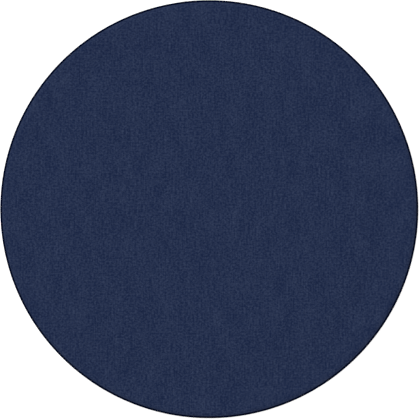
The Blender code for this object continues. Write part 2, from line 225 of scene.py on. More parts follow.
# %% a disc without a pole
def square_rings(count):
    """Ring number and angle for each point of a square grid whose square rings become circles.
    A point's angle is an eighth of a turn times its offset along its side over the ring number."""
    i, j = np.meshgrid(*[np.arange(-count, count + 1.0)] * 2, indexing="ij")
    sideways = np.abs(i) >= np.abs(j)
    ratio = np.where(sideways, j, i) / np.where(i**2 + j**2 == 0, 1, np.where(sideways, i, j) + 0.0)
    angle = np.where(sideways, ratio * math.pi / 4 + math.pi * (i < 0), 0)
    upright = math.pi / 2 - ratio * math.pi / 4 + math.pi * (j < 0)
    return np.maximum(np.abs(i), np.abs(j)).astype(int), np.where(sideways, angle, upright)


# %% evenness of a wavy edge
def ripple(along, wavelength, seed):
    """A wave from -1 to 1 whose pitch wanders: three sines near the wavelength with seeded phases."""
    phases = np.random.default_rng(seed).uniform(0, math.tau, 3)
    waves = [np.sin(math.tau * along / (wavelength * k) + p) for k, p in zip((1, 1.37, 0.73), phases)]
    return sum(waves) / 3


def fade(x, start, end):
    """0 before start, 1 after end, and a smooth S between."""
    t = np.clip((x - start) / (end - start), 0, 1)
    return t * t * (3 - 2 * t)


# %% finishing a piece
def finished(piece, node, material, body="cushion"):
    """The piece gets its material and that material's slot, rides on its body, and stands for its
    solid if it has one."""
    piece.data.materials.append(material)
    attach(piece, body)
    if node:
        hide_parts(node)
    print(f"{piece.name}: {len(piece.data.vertices)} points")
    return piece


def thicken(piece, thickness):
    """Gives a sheet its thickness on its inner side, with its edges closed."""
    wall = piece.modifiers.new("cloth", "SOLIDIFY")
    wall.thickness = thickness
    wall.offset = -1
    wall.use_even_offset = True
    return piece


# %% [markdown]
# ## Finishes
# Up close the cover is a plain weave of dyed yarn, and from a step away only its grain is left:
# threads that took the dye a little lighter or darker. Both are drawn by nodes.
# A picture of cloth would blur close up and repeat across the seat, and a formula does neither.
# Shared effects are node groups, so that each cloth sets only its own pitch and colours.

# %% node helpers
def put(tree, kind, *values, **settings):
    """A node with its settings, and its inputs in order. A socket is linked, and None is left."""
    made = tree.nodes.new(kind)
    for name, value in settings.items():
        setattr(made, name, value)
    for socket, value in zip(made.inputs, values):
        if isinstance(value, bpy.types.NodeSocket):
            tree.links.new(value, socket)
        elif value is not None:
            socket.default_value = value
    return made


def named(node, **values):
    """Sets a node's inputs by name, where _ stands for a space. A socket is linked."""
    for name, value in values.items():
        socket = node.inputs[name.replace("_", " ")]
        if isinstance(value, bpy.types.NodeSocket):
            node.id_data.links.new(value, socket)
        else:
            socket.default_value = value
    return node


def calc(tree, operation, *values):
    """The result of a Math node."""
    return put(tree, "ShaderNodeMath", *values, operation=operation).outputs[0]


def noise(tree, vector, scale, detail=0.0, roughness=0.5):
    """Soft noise about 0, between about -0.5 and 0.5, with features of 1 / scale."""
    made = named(put(tree, "ShaderNodeTexNoise", vector), Scale=scale, Detail=detail, Roughness=roughness)
    return calc(tree, "SUBTRACT", made.outputs["Fac"], 0.5)


def between_colours(tree, factor, first, second, **settings):
    """The colour that lies by the factor between two, each a colour or a socket."""
    ends = [c if isinstance(c, bpy.types.NodeSocket) else (*c, 1) for c in (first, second)]
    mixed = put(tree, "ShaderNodeMix", factor, *[None] * 5, *ends, data_type="RGBA", **settings)
    return mixed.outputs[2]


def new_group(name, sizes, results):
    """An empty node group that takes a vector and a number for each size, and gives the results.
    Returns it with its two ends."""
    tree = bpy.data.node_groups.new(name, "ShaderNodeTree")
    tree.interface.new_socket("Vector", in_out="INPUT", socket_type="NodeSocketVector")
    for label, value in sizes.items():
        socket = tree.interface.new_socket(label, in_out="INPUT", socket_type="NodeSocketFloat")
        socket.default_value = value
    for label in results:
        tree.interface.new_socket(label, in_out="OUTPUT", socket_type="NodeSocketFloat")
    return tree, tree.nodes.new("NodeGroupInput"), tree.nodes.new("NodeGroupOutput")


def use(tree, group, **values):
    """The group as a node, with its inputs by name."""
    return named(put(tree, "ShaderNodeGroup", node_tree=group), **values)


# %% [markdown]
# ### The weave
# In a plain weave each crossing shows either the upright yarn or the level one, like a chessboard.
# The product of two sines has just those signs. Inside a square, the sine across a yarn gives its
# round back, and the sine along it, flattened by a power, gives the dip at its ends.
# Each yarn is twisted fibre, so fine lines slant along its back.

# %% weave group
def weave_group():
    """A plain weave, whose pitches and waver are in the vector's unit."""
    sizes = {"Upright Pitch": 0.62, "Level Pitch": 0.70, "Waver": 0.12}
    tree, ends, out = new_group("plain_weave", sizes, ["Height", "Fibre"])
    vector = ends.outputs["Vector"]
    spread = calc(tree, "MULTIPLY", noise(tree, vector, 0.35, 1.0), ends.outputs["Waver"])
    place = put(tree, "ShaderNodeSeparateXYZ", vector)
    across = calc(tree, "MULTIPLY_ADD", spread, 6.0, place.outputs["X"])
    along = calc(tree, "MULTIPLY_ADD", spread, -5.0, place.outputs["Y"])
    sines = []
    for distance, pitch in ((across, "Upright Pitch"), (along, "Level Pitch")):
        turn = calc(tree, "DIVIDE", calc(tree, "MULTIPLY", distance, math.pi), ends.outputs[pitch])
        sines.append(calc(tree, "SINE", turn))
    upright = calc(tree, "GREATER_THAN", calc(tree, "MULTIPLY", *sines), 0.0)
    size_u, size_v = (calc(tree, "ABSOLUTE", sine) for sine in sines)
    upright_back = calc(tree, "MULTIPLY", size_u, calc(tree, "POWER", size_v, 0.5))
    level_back = calc(tree, "MULTIPLY", size_v, calc(tree, "POWER", size_u, 0.5))
    height = put(tree, "ShaderNodeMix", upright, level_back, upright_back)
    tree.links.new(calc(tree, "POWER", height.outputs[0], 0.85), out.inputs["Height"])
    lines = []
    for over, down in ((across, along), (along, across)):
        slanted = calc(tree, "MULTIPLY_ADD", down, 3.0, calc(tree, "MULTIPLY", over, 9.0))
        drawn = put(tree, "ShaderNodeCombineXYZ", slanted, calc(tree, "MULTIPLY", down, 1.5))
        lines.append(noise(tree, drawn.outputs[0], 1.0, 1.0))
    fibre = put(tree, "ShaderNodeMix", upright, lines[1], lines[0])
    tree.links.new(fibre.outputs[0], out.inputs["Fibre"])
    return tree


plain_weave = weave_group()
print("weave nodes", len(plain_weave.nodes))

# %% [markdown]
# ### The grain
# Spun yarn isn't even: thick and thin stretches take the dye differently. The upright yarns show
# as short streaks, a few of them long, and between them the crossings speckle.
# The cloth as a whole has faint cloudy patches. Each of these is one soft noise, stretched to suit.

# %% grain group
def grain_group():
    """The sum of a level and four layers of noise, each by its own strength."""
    sizes = {"Speckle": 1.0, "Streak": 0.5, "Long Streak": 0.3, "Cloud": 0.2, "Level": 0.45}
    tree, ends, out = new_group("yarn_grain", sizes, ["Tone"])
    vector = ends.outputs["Vector"]

    def stretched(x, y, z):
        """The vector, scaled along each axis. A small scale draws the noise out that way."""
        return put(tree, "ShaderNodeVectorMath", vector, (x, y, z), operation="MULTIPLY").outputs[0]

    layers = {
        "Speckle": noise(tree, stretched(0.49, 0.61, 0.57), 1.0),
        "Streak": noise(tree, stretched(0.85, 0.17, 0.85), 1.0),
        "Long Streak": noise(tree, stretched(0.9, 0.035, 0.9), 1.0),
        "Cloud": noise(tree, stretched(1.0, 0.6, 1.0), 0.06, 2.0),
    }
    total = ends.outputs["Level"]
    for name, layer in layers.items():
        total = calc(tree, "MULTIPLY_ADD", layer, ends.outputs[name], total)
    tree.links.new(calc(tree, "MAXIMUM", total, 0.0), out.inputs["Tone"])
    return tree


yarn_grain = grain_group()
print("grain nodes", len(yarn_grain.nodes))

# %% a cloth
def blank_material(name, slot, roughness):
    """A material with its Principled shader, and the slot of the record that it belongs to."""
    made = bpy.data.materials.new(name)
    made["slot"] = slot
    made.use_nodes = True
    shader = named(made.node_tree.nodes["Principled BSDF"], Roughness=roughness)
    return made, made.node_tree, shader


def in_millimetres(tree, turn=0.0):
    """The map Cloth in millimetres, turned in its plane."""
    mapping = put(tree, "ShaderNodeMapping", put(tree, "ShaderNodeUVMap", uv_map="Cloth").outputs["UV"])
    return named(mapping, Scale=(1000, 1000, 1000), Rotation=(0, 0, turn)).outputs[0]


def bump_by(tree, shader, height, relief):
    """The height, of about 0 to 1, stands out by the relief in millimetres."""
    bump = named(put(tree, "ShaderNodeBump"), Distance=relief / 1000, Height=height)
    named(shader, Normal=bump.outputs[0])


def cloth(name, slot, dark, light, pitch, turn=0.0, grain=None, relief=0.16, sheen=0.05, specular=0.10):
    """Woven cloth: the grain picks a colour between dark and light, painted shade darkens the gaps
    between yarns and the fibre grooves, and the yarns' backs stand out by relief, in millimetres."""
    made, tree, shader = blank_material(name, slot, 0.92)
    vector = in_millimetres(tree, turn)
    woven = use(tree, plain_weave, Vector=vector, Upright_Pitch=pitch[0], Level_Pitch=pitch[1])
    tone = use(tree, yarn_grain, Vector=vector, **(grain or {})).outputs["Tone"]
    colour = between_colours(tree, tone, dark, light, clamp_factor=False)
    # painted shade: the colour is darker where the weave is low, in the gaps between yarns, and along the
    # fibre grooves
    painted_gap_shade = calc(tree, "MULTIPLY_ADD", woven.outputs["Height"], 0.75, 0.58)
    painted_gap_shade = calc(tree, "MULTIPLY_ADD", woven.outputs["Fibre"], 0.45, painted_gap_shade)
    shaded = named(put(tree, "ShaderNodeVectorMath", colour, operation="SCALE"), Scale=painted_gap_shade)
    fuzz = calc(tree, "MULTIPLY_ADD", woven.outputs["Fibre"], 0.30, woven.outputs["Height"])
    bump_by(tree, shader, fuzz, relief)
    named(shader, Base_Color=shaded.outputs[0], Specular_IOR_Level=specular, Sheen_Weight=sheen)
    named(shader, Sheen_Roughness=0.5, Sheen_Tint=(*[min(1, 6 * c) for c in light], 1))
    return made


# %% the cover's cloths
NAVY_DARK = (0.0107, 0.0231, 0.0768)
NAVY_LIGHT = (0.0353, 0.0543, 0.1227)
NAVY_GRAIN = dict(Speckle=1.92, Streak=0.85, Long_Streak=0.65, Cloud=0.70, Level=0.49)
navy = cloth("navy_cover", "navy_cloth", NAVY_DARK, NAVY_LIGHT, (0.62, 0.70), grain=NAVY_GRAIN)
bias = cloth(
    "piping_bias", "piping_cloth", (0.0006, 0.0029, 0.0190), (0.0015, 0.0062, 0.0360), (0.45, 0.45),
    turn=math.radians(45), sheen=0.0, specular=0.0,
)
base_weave = cloth(
    "base_weave", "base_cloth", (0.006, 0.010, 0.026), (0.016, 0.024, 0.052), (0.9, 0.9), relief=0.18
)
print("cloths", [made.name for made in (navy, bias, base_weave)])

# %% [markdown]
# ### Zip tape, thread and cord
# Zip tape is woven in a herringbone, so slanting ribs turn back every few millimetres. The zigzag
# of a triangle wave, added to the distance along, draws it. Thread and cord are twisted:
# slanting grooves round a tube, which a sawtooth of both of its coordinates draws.


# %% tape and twisted yarn
def ribbed(name, slot, dark, light, pitch, fold, slant, relief, roughness):
    """Ribs that run slantwise and turn back after each fold, or never if the fold is 0."""
    made, tree, shader = blank_material(name, slot, roughness)
    vector = in_millimetres(tree)
    place = put(tree, "ShaderNodeSeparateXYZ", vector)
    across = place.outputs["Y"]
    if fold:
        across = calc(tree, "PINGPONG", across, fold)
    slanting = calc(tree, "MULTIPLY_ADD", across, slant, place.outputs["X"])
    waver = calc(tree, "MULTIPLY_ADD", noise(tree, vector, 1.3, 2.0), 0.25 * pitch, slanting)
    rib = calc(tree, "ABSOLUTE", calc(tree, "SINE", calc(tree, "MULTIPLY", waver, math.pi / pitch)))
    mixed = calc(tree, "MULTIPLY_ADD", noise(tree, vector, 4.0, 2.0), 0.5, rib)
    # painted shade: the colour follows the ribs and is darker in the grooves between them, with noise added
    # for the yarn's own uneven tone
    named(shader, Base_Color=between_colours(tree, mixed, dark, light))
    bump_by(tree, shader, mixed, relief)
    return made


tape_cloth = ribbed(
    "tape_herringbone", "zip_tape", (0.006, 0.010, 0.028), (0.018, 0.028, 0.070),
    pitch=0.55, fold=1.7, slant=1.0, relief=0.10, roughness=0.85,
)
thread = ribbed(
    "thread_twist", "navy_cloth", (0.018, 0.028, 0.070), (0.055, 0.075, 0.150),
    pitch=0.35, fold=0, slant=0.8, relief=0.05, roughness=0.6,
)
cotton = ribbed(
    "cotton_twist", "cotton_cord", (0.42, 0.38, 0.31), (0.78, 0.75, 0.68),
    pitch=0.5, fold=0, slant=1.2, relief=0.08, roughness=0.9,
)
print("yarns", [made.name for made in (tape_cloth, thread, cotton)])

# %% [markdown]
# ### Foam and wadding
# Cut foam shows its cells: bubbles, some of them open, each with a thin rim. Voronoi cells are
# shaped like bubbles packed together, so their distance gives both the pits and the painted shade on their
# floors.
# Wadding is loose fibre: noise drawn out in two directions and laid over itself.


# %% foam, fibre, rubber, nylon and paint
def foam(name, slot, dark, light, cell):
    """Cut foam whose cells are about that many millimetres wide."""
    made, tree, shader = blank_material(name, slot, 0.95)
    vector = put(tree, "ShaderNodeTexCoord").outputs["Object"]
    cells = named(put(tree, "ShaderNodeTexVoronoi", vector), Scale=1000 / cell, Randomness=1.0)
    depth = calc(tree, "MULTIPLY_ADD", noise(tree, vector, 90, 2.0), 0.5, cells.outputs["Distance"])
    # painted shade: the colour goes darker towards each cell's middle, which is the floor of its pit
    named(shader, Base_Color=between_colours(tree, depth, dark, light))
    bump_by(tree, shader, depth, 0.25)
    return made


def fibres(name, slot, dark, light):
    """Loose fibres: the finer of two noises, each drawn out along its own slant."""
    made, tree, shader = blank_material(name, slot, 1.0)
    source = put(tree, "ShaderNodeTexCoord").outputs["Object"]
    layers = []
    for turn in (0.5, 2.1):
        laid = put(tree, "ShaderNodeMapping", source)
        named(laid, Scale=(90, 1400, 500), Rotation=(0.3, 0.2, turn))
        layers.append(noise(tree, laid.outputs[0], 1.0, 2.0))
    strands = calc(tree, "ADD", calc(tree, "MAXIMUM", *layers), 0.5)
    strands = calc(tree, "ADD", strands, noise(tree, source, 35, 1.0))
    named(shader, Base_Color=between_colours(tree, strands, dark, light), Sheen_Weight=0.3)
    bump_by(tree, shader, strands, 0.5)
    return made


def moulded(name, slot, colour, light, roughness, relief, scale, spread=0.25, specular=0.5, worn=None):
    """A smooth finish whose gloss and colour drift a little. Where worn is given, paint is rubbed
    through to metal in small places."""
    made, tree, shader = blank_material(name, slot, roughness)
    vector = put(tree, "ShaderNodeTexCoord").outputs["Object"]
    drift = noise(tree, vector, scale, 3.0)
    shade = between_colours(tree, calc(tree, "ADD", drift, 0.5), colour, light)
    gloss = calc(tree, "MULTIPLY_ADD", drift, spread, roughness)
    if worn:
        spots = put(tree, "ShaderNodeMapRange", noise(tree, vector, scale * 1.7, 4.0, 0.7))
        rubbed = named(spots, From_Min=0.19, From_Max=0.22).outputs[0]
        shade = between_colours(tree, rubbed, shade, worn)
        gloss = calc(tree, "MULTIPLY_ADD", rubbed, -0.1, gloss)
        named(shader, Metallic=rubbed)
    named(shader, Base_Color=shade, Roughness=gloss, Specular_IOR_Level=specular)
    bump_by(tree, shader, drift, relief)
    return made


soft_foam = foam("cream_foam", "comfort_foam", (0.55, 0.48, 0.28), (0.84, 0.79, 0.58), 1.1)
firm_foam = foam("grey_foam", "support_foam", (0.36, 0.41, 0.45), (0.62, 0.67, 0.71), 0.8)
polyester = fibres("polyester_fibre", "wadding", (0.72, 0.72, 0.71), (0.93, 0.93, 0.92))
rubber = moulded(
    "printed_rubber", "grip_rubber", (0.006, 0.007, 0.011), (0.016, 0.018, 0.025),
    roughness=0.6, relief=0.06, scale=900, spread=0.3, specular=0.25,
)
nylon = moulded(
    "nylon_filament", "zip_nylon", (0.006, 0.010, 0.030), (0.014, 0.022, 0.058),
    roughness=0.34, relief=0.02, scale=700,
)
paint = moulded(
    "black_paint", "zip_metal", (0.009, 0.011, 0.017), (0.024, 0.027, 0.036),
    roughness=0.27, relief=0.02, scale=450, worn=(0.30, 0.31, 0.33),
)
print("finishes", len(bpy.data.materials))

# %% [markdown]
# ## Inflating the pad
# Stuffing pushes a cover out until its cloth is tight, and the seams hold it back. That decides how
# the seat crowns and how the side bulges, so it is worth a cloth simulation.
# A coarse pad starts a little small: a disc and the band below it, pinned where the seams are.
# Pressure swells it, with gravity off, and its cloth is cut half a percent larger than it lies.
# Time runs three times as fast, so that it settles within 20 frames. How far a point may travel is
# then capped, as foam does.

# %% the pad before stuffing
RINGS = 38
TRAVEL = 0.0080
BULGE = 0.0040
CROWN = 0.0045
EASE = 0.005
BAND_ROWS = 9
PRESSURE = 4
FRAMES = 20
CLOTH_SETTINGS = {
    "quality": 6, "mass": 0.3, "tension_stiffness": 15, "compression_stiffness": 15,
    "shear_stiffness": 5, "bending_stiffness": 0.3, "shrink_min": -EASE, "time_scale": 3,
    "air_damping": 5, "use_pressure": True, "uniform_pressure_force": PRESSURE,
}

ring, angle = square_rings(RINGS)
pad_radii = np.linspace(0, SEAM_R, RINGS + 1)
pad_top_z = TOP_Z + CROWN - TRAVEL
pad_heights = pad_top_z - fade(pad_radii, SEAM_R - 0.012, SEAM_R) * (pad_top_z - ALLOWANCE_Z)
disc = polar(pad_radii[ring], angle, pad_heights[ring])
edge = np.flatnonzero(ring == RINGS)
edge = edge[np.argsort(np.mod(angle.ravel()[edge], math.tau))]
edge_angles = np.mod(angle.ravel()[edge], math.tau)
band_z = np.linspace(BAND_TOP_Z, MIRROR_Z - BAND_TOP_Z, BAND_ROWS)
band_side = round_surface(np.full(BAND_ROWS, SEAM_R), band_z, edge_angles)


# %% swelling it
def swollen(points, faces, pinned):
    """The points after a run of Cloth under pressure, with the pinned ones held."""
    pad = mesh_piece("pad", points, faces)
    held = pad.vertex_groups.new(name="seam")
    held.add(pinned.tolist(), 1.0, "REPLACE")
    sewn = pad.modifiers.new("swell", "CLOTH")
    for name, value in CLOTH_SETTINGS.items():
        setattr(sewn.settings, name, value)
    sewn.settings.vertex_group_mass = held.name
    sewn.settings.effector_weights.gravity = 0
    sewn.collision_settings.use_collision = False
    scene = bpy.context.scene
    for step in range(1, FRAMES + 1):
        scene.frame_set(step)
    result = pad.evaluated_get(bpy.context.evaluated_depsgraph_get()).data
    moved = np.empty(len(result.vertices) * 3, dtype=np.float32)
    result.vertices.foreach_get("co", moved)
    bpy.data.objects.remove(pad)
    scene.frame_set(1)
    return moved.reshape(-1, 3)


def capped(travel, cap):
    """Each travel, eased so that none passes the cap: the cap times the hyperbolic tangent."""
    return cap * np.tanh(travel / cap)


# %% run the simulation
count = 2 * RINGS + 1
start = np.vstack([disc.reshape(-1, 3), band_side.reshape(-1, 3)])
pins = np.concatenate([edge, count**2 + np.arange(len(edge)), len(start) - 1 - np.arange(len(edge))])
loose = np.ones(len(start))
loose[pins] = 0
start[:, 2] += np.random.default_rng(5).normal(0, 0.00012, len(start)) * loose
side_faces = grid_faces(BAND_ROWS, len(edge), join_columns=True) + count**2
top_faces = facing_out(start, grid_faces(count, count))
pad_faces = np.vstack([top_faces, facing_out(start, side_faces, (0, 0, MID_Z))])
end = swollen(start, pad_faces, pins)
crown_field = capped((end - start)[: count**2, 2], TRAVEL).reshape(count, count)
outwards = np.hypot(end[:, 0], end[:, 1]) - np.hypot(start[:, 0], start[:, 1])
bulge_field = capped(outwards[count**2 :], BULGE).reshape(BAND_ROWS, len(edge))
print(f"crown up to {1000 * crown_field.max():.1f} mm, side up to {1000 * bulge_field.max():.1f} mm")


# %% reading the swollen shape anywhere
def between(field, row, column):
    """The field at fractional rows and columns, weighted by nearness to its four neighbours."""
    low_row = np.clip(np.floor(row).astype(int), 0, field.shape[0] - 2)
    low_column = np.clip(np.floor(column).astype(int), 0, field.shape[1] - 2)
    p, q = row - low_row, column - low_column
    near = field[low_row, low_column] * (1 - q) + field[low_row, low_column + 1] * q
    far = field[low_row + 1, low_column] * (1 - q) + field[low_row + 1, low_column + 1] * q
    return near * (1 - p) + far * p


def seat_height(radii, angles):
    """How high the stuffed seat is at each radius and angle: the pad's start and its travel.
    A circle of the pad is a square ring of the field, so the radius is a share of the square."""
    share = np.clip(radii / SEAM_R, 0, 1) * RINGS
    turn = np.mod(angles + math.pi / 4, math.pi / 2) - math.pi / 4
    side = np.round((angles - turn) / (math.pi / 2)).astype(int) % 4
    off = share * turn / (math.pi / 4)
    i = np.choose(side, [share, -off, -share, off])
    j = np.choose(side, [off, share, -off, -share])
    return np.interp(radii, pad_radii, pad_heights) + between(crown_field, i + RINGS, j + RINGS)


CROWN_FADES = 0.150
CROWN_SOFT = 0.0005


def crown(radii, angles):
    """How far the stuffing lifts the seat above its flat height, fading out at the seam. The lift
    is rounded off towards 0 where the pad lies lower than the shoulder: half the sum of itself and
    the root of its square and the square of a small size."""
    lift = seat_height(radii, angles) - TOP_Z
    lift = (lift + np.sqrt(lift**2 + CROWN_SOFT**2)) / 2
    return lift * (1 - fade(radii, CROWN_FADES, SEAM_R))


for out_r in (0.0, 0.05, 0.10, 0.15, 0.18):
    lift = crown(np.full(8, out_r), np.arange(8) * math.tau / 8)
    print(f"{1000 * out_r:.0f} mm out: crown {1000 * lift.min():.2f} to {1000 * lift.max():.2f} mm")

# %% [markdown]
# ## Top panel
# The seat face is one disc of cloth. At its edge it rolls over the wadding, tucks in above the
# piping, and its seam allowance runs inwards. A polar mesh would crowd its triangles at the centre,
# so square rings bent into circles carry the profile instead: no pole, and even squares.

# %% panel profile
FLAT_R = PANEL_R - 0.0050
PANEL_EDGE = [
    (FLAT_R - 0.0015, TOP_Z),
    (FLAT_R + 0.0008, TOP_Z - 0.0001),
    (PANEL_R - 0.0024, TOP_Z - 0.0007),
    (PANEL_R - 0.0011, TOP_Z - 0.0017),
    (PANEL_R - 0.0005, TOP_Z - 0.0031),
    (PANEL_R - 0.0009, TOP_Z - 0.0044),
    (PIPING_CENTRE_R - 0.0008, PIPING_HIGH + 0.0001),
    (SEAM_R + 0.0004, ALLOWANCE_Z + 0.0004),
    (SEAM_R - 0.0008, ALLOWANCE_Z),
    (ALLOWANCE_R, ALLOWANCE_Z),
]
PANEL_LINE = smooth_line(PANEL_EDGE, 0.0007)
SEAT_SPACING, BASE_SPACING = 0.0024, 0.0032


def disc_profile(edge_line, spacing):
    """A flat face from the axis out to the edge line and then along it, as radii and heights, and
    the number of its points on the face."""
    face = np.linspace(0, edge_line[0, 0], round(edge_line[0, 0] / spacing) + 1)[:-1]
    flat = np.stack([face, np.full(len(face), edge_line[0, 1])], axis=1)
    return np.vstack([flat, edge_line]), len(face)


def panel_surface(spacing, stuffed):
    """Points of the panel, and its map: each point's distance along the cloth from the centre.
    It puckers faintly near the seam, and a stuffed one gets its crown inside the shoulder."""
    profile, on_face = disc_profile(PANEL_LINE, spacing)
    number, turn = square_rings(len(profile) - 1)
    r, z = profile[number].transpose(2, 0, 1)
    wave = ripple(turn * RADIUS, 0.0185, 4) + 0.6 * ripple(turn * RADIUS, 0.0079, 9)
    wave *= 0.00020 * fade(r, 0.180, 0.193) * (1 if stuffed else 0.6)
    lift = crown(r, turn) if stuffed else 0
    z = z + (number <= on_face + 6) * (lift + wave)
    run = run_along(profile)[number]
    return polar(r, turn, z), polar(run, turn, 0)[..., :2]


# %% the top panel
def cut_radius():
    """Radius of the flat disc that a panel is cut from: the length of its profile."""
    return run_along(disc_profile(PANEL_LINE, SEAT_SPACING)[0])[-1]


def round_panel(name, node, points, flat, material):
    """A panel as a sheet of cloth, cut as a disc as wide as its profile is long."""
    faces = facing_out(points, grid_faces(*points.shape[:2]), (0, 0, MID_Z))
    panel = thicken(mesh_piece(name, points, faces, flat), COVER_CLOTH)
    return finished(panel, node, material)


points, flat = panel_surface(SEAT_SPACING, stuffed=True)
round_panel("seat_panel_cloth", "top_panel", points, flat, navy)
print(f"cut {2000 * cut_radius():.0f} mm across, crown {1000 * (points[..., 2].max() - TOP_Z):.1f} mm")

# %% [markdown]
# ## Base panel
# The base is cut the same, but it lies flat on the chair, so it isn't crowned.

# %% the base panel
points, flat = panel_surface(BASE_SPACING, stuffed=False)
points[..., 2] = MIRROR_Z - points[..., 2]
round_panel("base_panel_cloth", "base_panel", points, flat, base_weave)

# %% [markdown]
# ## Side band
# The band is one long strip. It bulges between the seams, and where it was eased into them it
# puckers: short upright ripples that die out towards the middle. They come after the simulation,
# because its mesh is too coarse for them. At its two ends it is drawn in to meet the zip's strips.

# %% side of the cushion
BOW = 0.0011
FACE_R = PANEL_R - BOW
FACE_Z = PIPING_LOW - 0.0016
BAND_CORNER = np.array([
    (ALLOWANCE_R, BAND_TOP_Z),
    (SEAM_R - 0.0006, BAND_TOP_Z),
    (PIPING_CENTRE_R - 0.0015, PIPING_LOW + 0.0003),
    (PIPING_CENTRE_R - 0.0008, PIPING_LOW - 0.0004),
    (FACE_R, FACE_Z),
])
HEM_OUT_R = COIL_OUT_R + 0.0006
HEM_IN_R = HEM_OUT_R - 2 * COVER_CLOTH
FOLD = 0.0060
SEAM_GAP = 0.0001
HEM_EDGE = 0.0090
STITCH_ROW = 0.0078


def strip_radius(heights):
    """Radius of the zip strips' outer face: it slopes from the seam down to the hem by the zip."""
    away = np.abs(heights - MID_Z)
    radii = [HEM_OUT_R + 0.0006, HEM_OUT_R, HEM_OUT_R, FACE_R]
    return np.interp(away, [0, FOLD, HEM_EDGE, FACE_Z - MID_Z], radii)


def side_radius(heights, angles, ends):
    """The front band's outer radius: a parabola between its seams, the pad's own unevenness, and
    near its two ends the zip strips' radius instead."""
    share = (heights - MID_Z) / (FACE_Z - MID_Z)
    row = np.clip((band_z[0] - heights) / (band_z[0] - band_z[-1]), 0, 1) * (BAND_ROWS - 1)
    column = np.mod(angles, math.tau) / math.tau * len(edge)
    wrapped = np.concatenate([bulge_field, bulge_field[:, :1]], axis=1)
    swell = between(wrapped, *np.meshgrid(row, column, indexing="ij"))
    even = np.interp(row, np.arange(BAND_ROWS), bulge_field.mean(axis=1))[:, None]
    full = (PANEL_R - BOW * share**2)[:, None] + 0.5 * (swell - even)
    from_end = np.minimum(angles - ends[0], ends[1] - angles) * RADIUS
    drawn_in = 1 - fade(from_end, 0.0005, 0.0160)
    seam = 0.0005 * (1 - fade(from_end, 0, 0.0012))
    return full + drawn_in * (strip_radius(heights)[:, None] - full) - seam


PUCKER_DEPTH, PUCKER_REACH = 0.00050, 0.011


def puckers(heights, angles, seed):
    """Inward ripples that start at both seams and fade out within the reach."""
    upper = ripple(angles * RADIUS, 0.0085, seed) - 0.6
    lower = ripple(angles * RADIUS, 0.0092, seed + 1) - 0.6
    near_top = 1 - fade(band_z[0] - heights, 0.001, PUCKER_REACH)
    near_base = 1 - fade(heights - band_z[-1], 0.001, PUCKER_REACH)
    return PUCKER_DEPTH * (near_top[:, None] * upper + near_base[:, None] * lower)


def mirrored(profile):
    """The same profile below the cushion's middle, run the other way."""
    return np.asarray(profile)[::-1] * [1, -1] + [0, MIRROR_Z]


def lowered(heights, below):
    """The heights, mirrored to the cushion's lower half if below."""
    return MIRROR_Z - heights if below else heights


# %% the front band
band_ends = (ZIP_END + SEAM_GAP, math.tau + ZIP_START - SEAM_GAP)
corner = smooth_line(BAND_CORNER, 0.0006)
face_z = np.linspace(corner[-1, 1], MIRROR_Z - corner[-1, 1], 34)[1:-1]
profile = np.vstack([corner, np.stack([np.full(len(face_z), PANEL_R), face_z], 1), mirrored(corner)])
angles = arc_steps(*band_ends, 0.0011)
radii = np.repeat(profile[:, :1], len(angles), axis=1)
radii[len(corner) : -len(corner)] = side_radius(face_z, angles, band_ends)
radii += puckers(profile[:, 1], angles, 11) * fade(profile[:, 0], SEAM_R, PANEL_R - 0.0012)[:, None]
points = round_surface(radii, profile[:, 1], angles)
run = run_along(profile)
flat = np.stack(np.meshgrid(angles * RADIUS, -run), axis=-1)
faces = facing_out(points, grid_faces(*points.shape[:2]), (0, 0, MID_Z))
band = thicken(mesh_piece("side_band_cloth", points, faces, flat), COVER_CLOTH)
finished(band, "front_band", navy)

# %% [markdown]
# ## Zip strips
# Beside the zip each strip is folded back on itself, and the fold is topstitched down.
# The section is drawn whole: over the seam, down the face, round the fold and back up.
# Carried round the arc with its ends closed, it is one body.

# %% bodies along an arc
def arc_body(name, section, angles, shift=None, below=False):
    """A closed section carried along an arc, with closed ends. shift adds radius and height to each
    point at each angle. The section starts and ends at the same end of its long side. below makes
    the mirrored body of the cushion's lower half."""
    section = np.asarray(section, dtype=float)
    moved = np.broadcast_to(section, (len(angles), *section.shape))
    if shift is not None:
        moved = moved + shift(section, angles)
    r, z = moved[..., 0], lowered(moved[..., 1], below)
    turn = angles[:, None]
    points = polar(r, turn, z)
    run = run_along(section)
    flat = np.stack(np.broadcast_arrays(turn * RADIUS, -run), axis=-1)
    faces = stacked_faces(len(angles), len(section))
    loop = run[-1] + np.linalg.norm(section[-1] - section[0])
    return mesh_piece(name, points, facing_out(points, faces), flat, (0, loop))


def evened(section):
    """The section with an even number of points."""
    return section if len(section) % 2 == 0 else np.delete(section, len(section) // 2, axis=0)


# %% the two strips
strip_ends = (ZIP_START + SEAM_GAP, ZIP_END - SEAM_GAP)
hem_z, fold_z = MID_Z + HEM_EDGE, MID_Z + FOLD
ply = COVER_CLOTH
down_face = [
    *BAND_CORNER,
    (PANEL_R - 0.0016, PIPING_LOW - 0.0032),
    (HEM_OUT_R + 0.0003, hem_z + 0.0012),
    (HEM_OUT_R, hem_z - 0.0002),
    (HEM_OUT_R, fold_z + 0.0011),
    (HEM_OUT_R - 0.0003, fold_z + 0.0003),
    (HEM_OUT_R - ply, fold_z),
    (HEM_IN_R + 0.0003, fold_z + 0.0003),
    (HEM_IN_R, fold_z + 0.0011),
    (HEM_IN_R, hem_z - 0.0003),
    (HEM_IN_R + 0.0002, hem_z),
    (HEM_OUT_R - ply, hem_z + 0.0003),
]
up_back = [
    (HEM_OUT_R - ply, hem_z + 0.0012),
    (PANEL_R - 0.0016 - ply, PIPING_LOW - 0.0032),
    (FACE_R - ply, FACE_Z),
    (SEAM_R - ply / 2, BAND_TOP_Z - ply),
    (ALLOWANCE_R, BAND_TOP_Z - ply),
]
strip_section = evened(smooth_line(down_face + up_back, 0.0007))


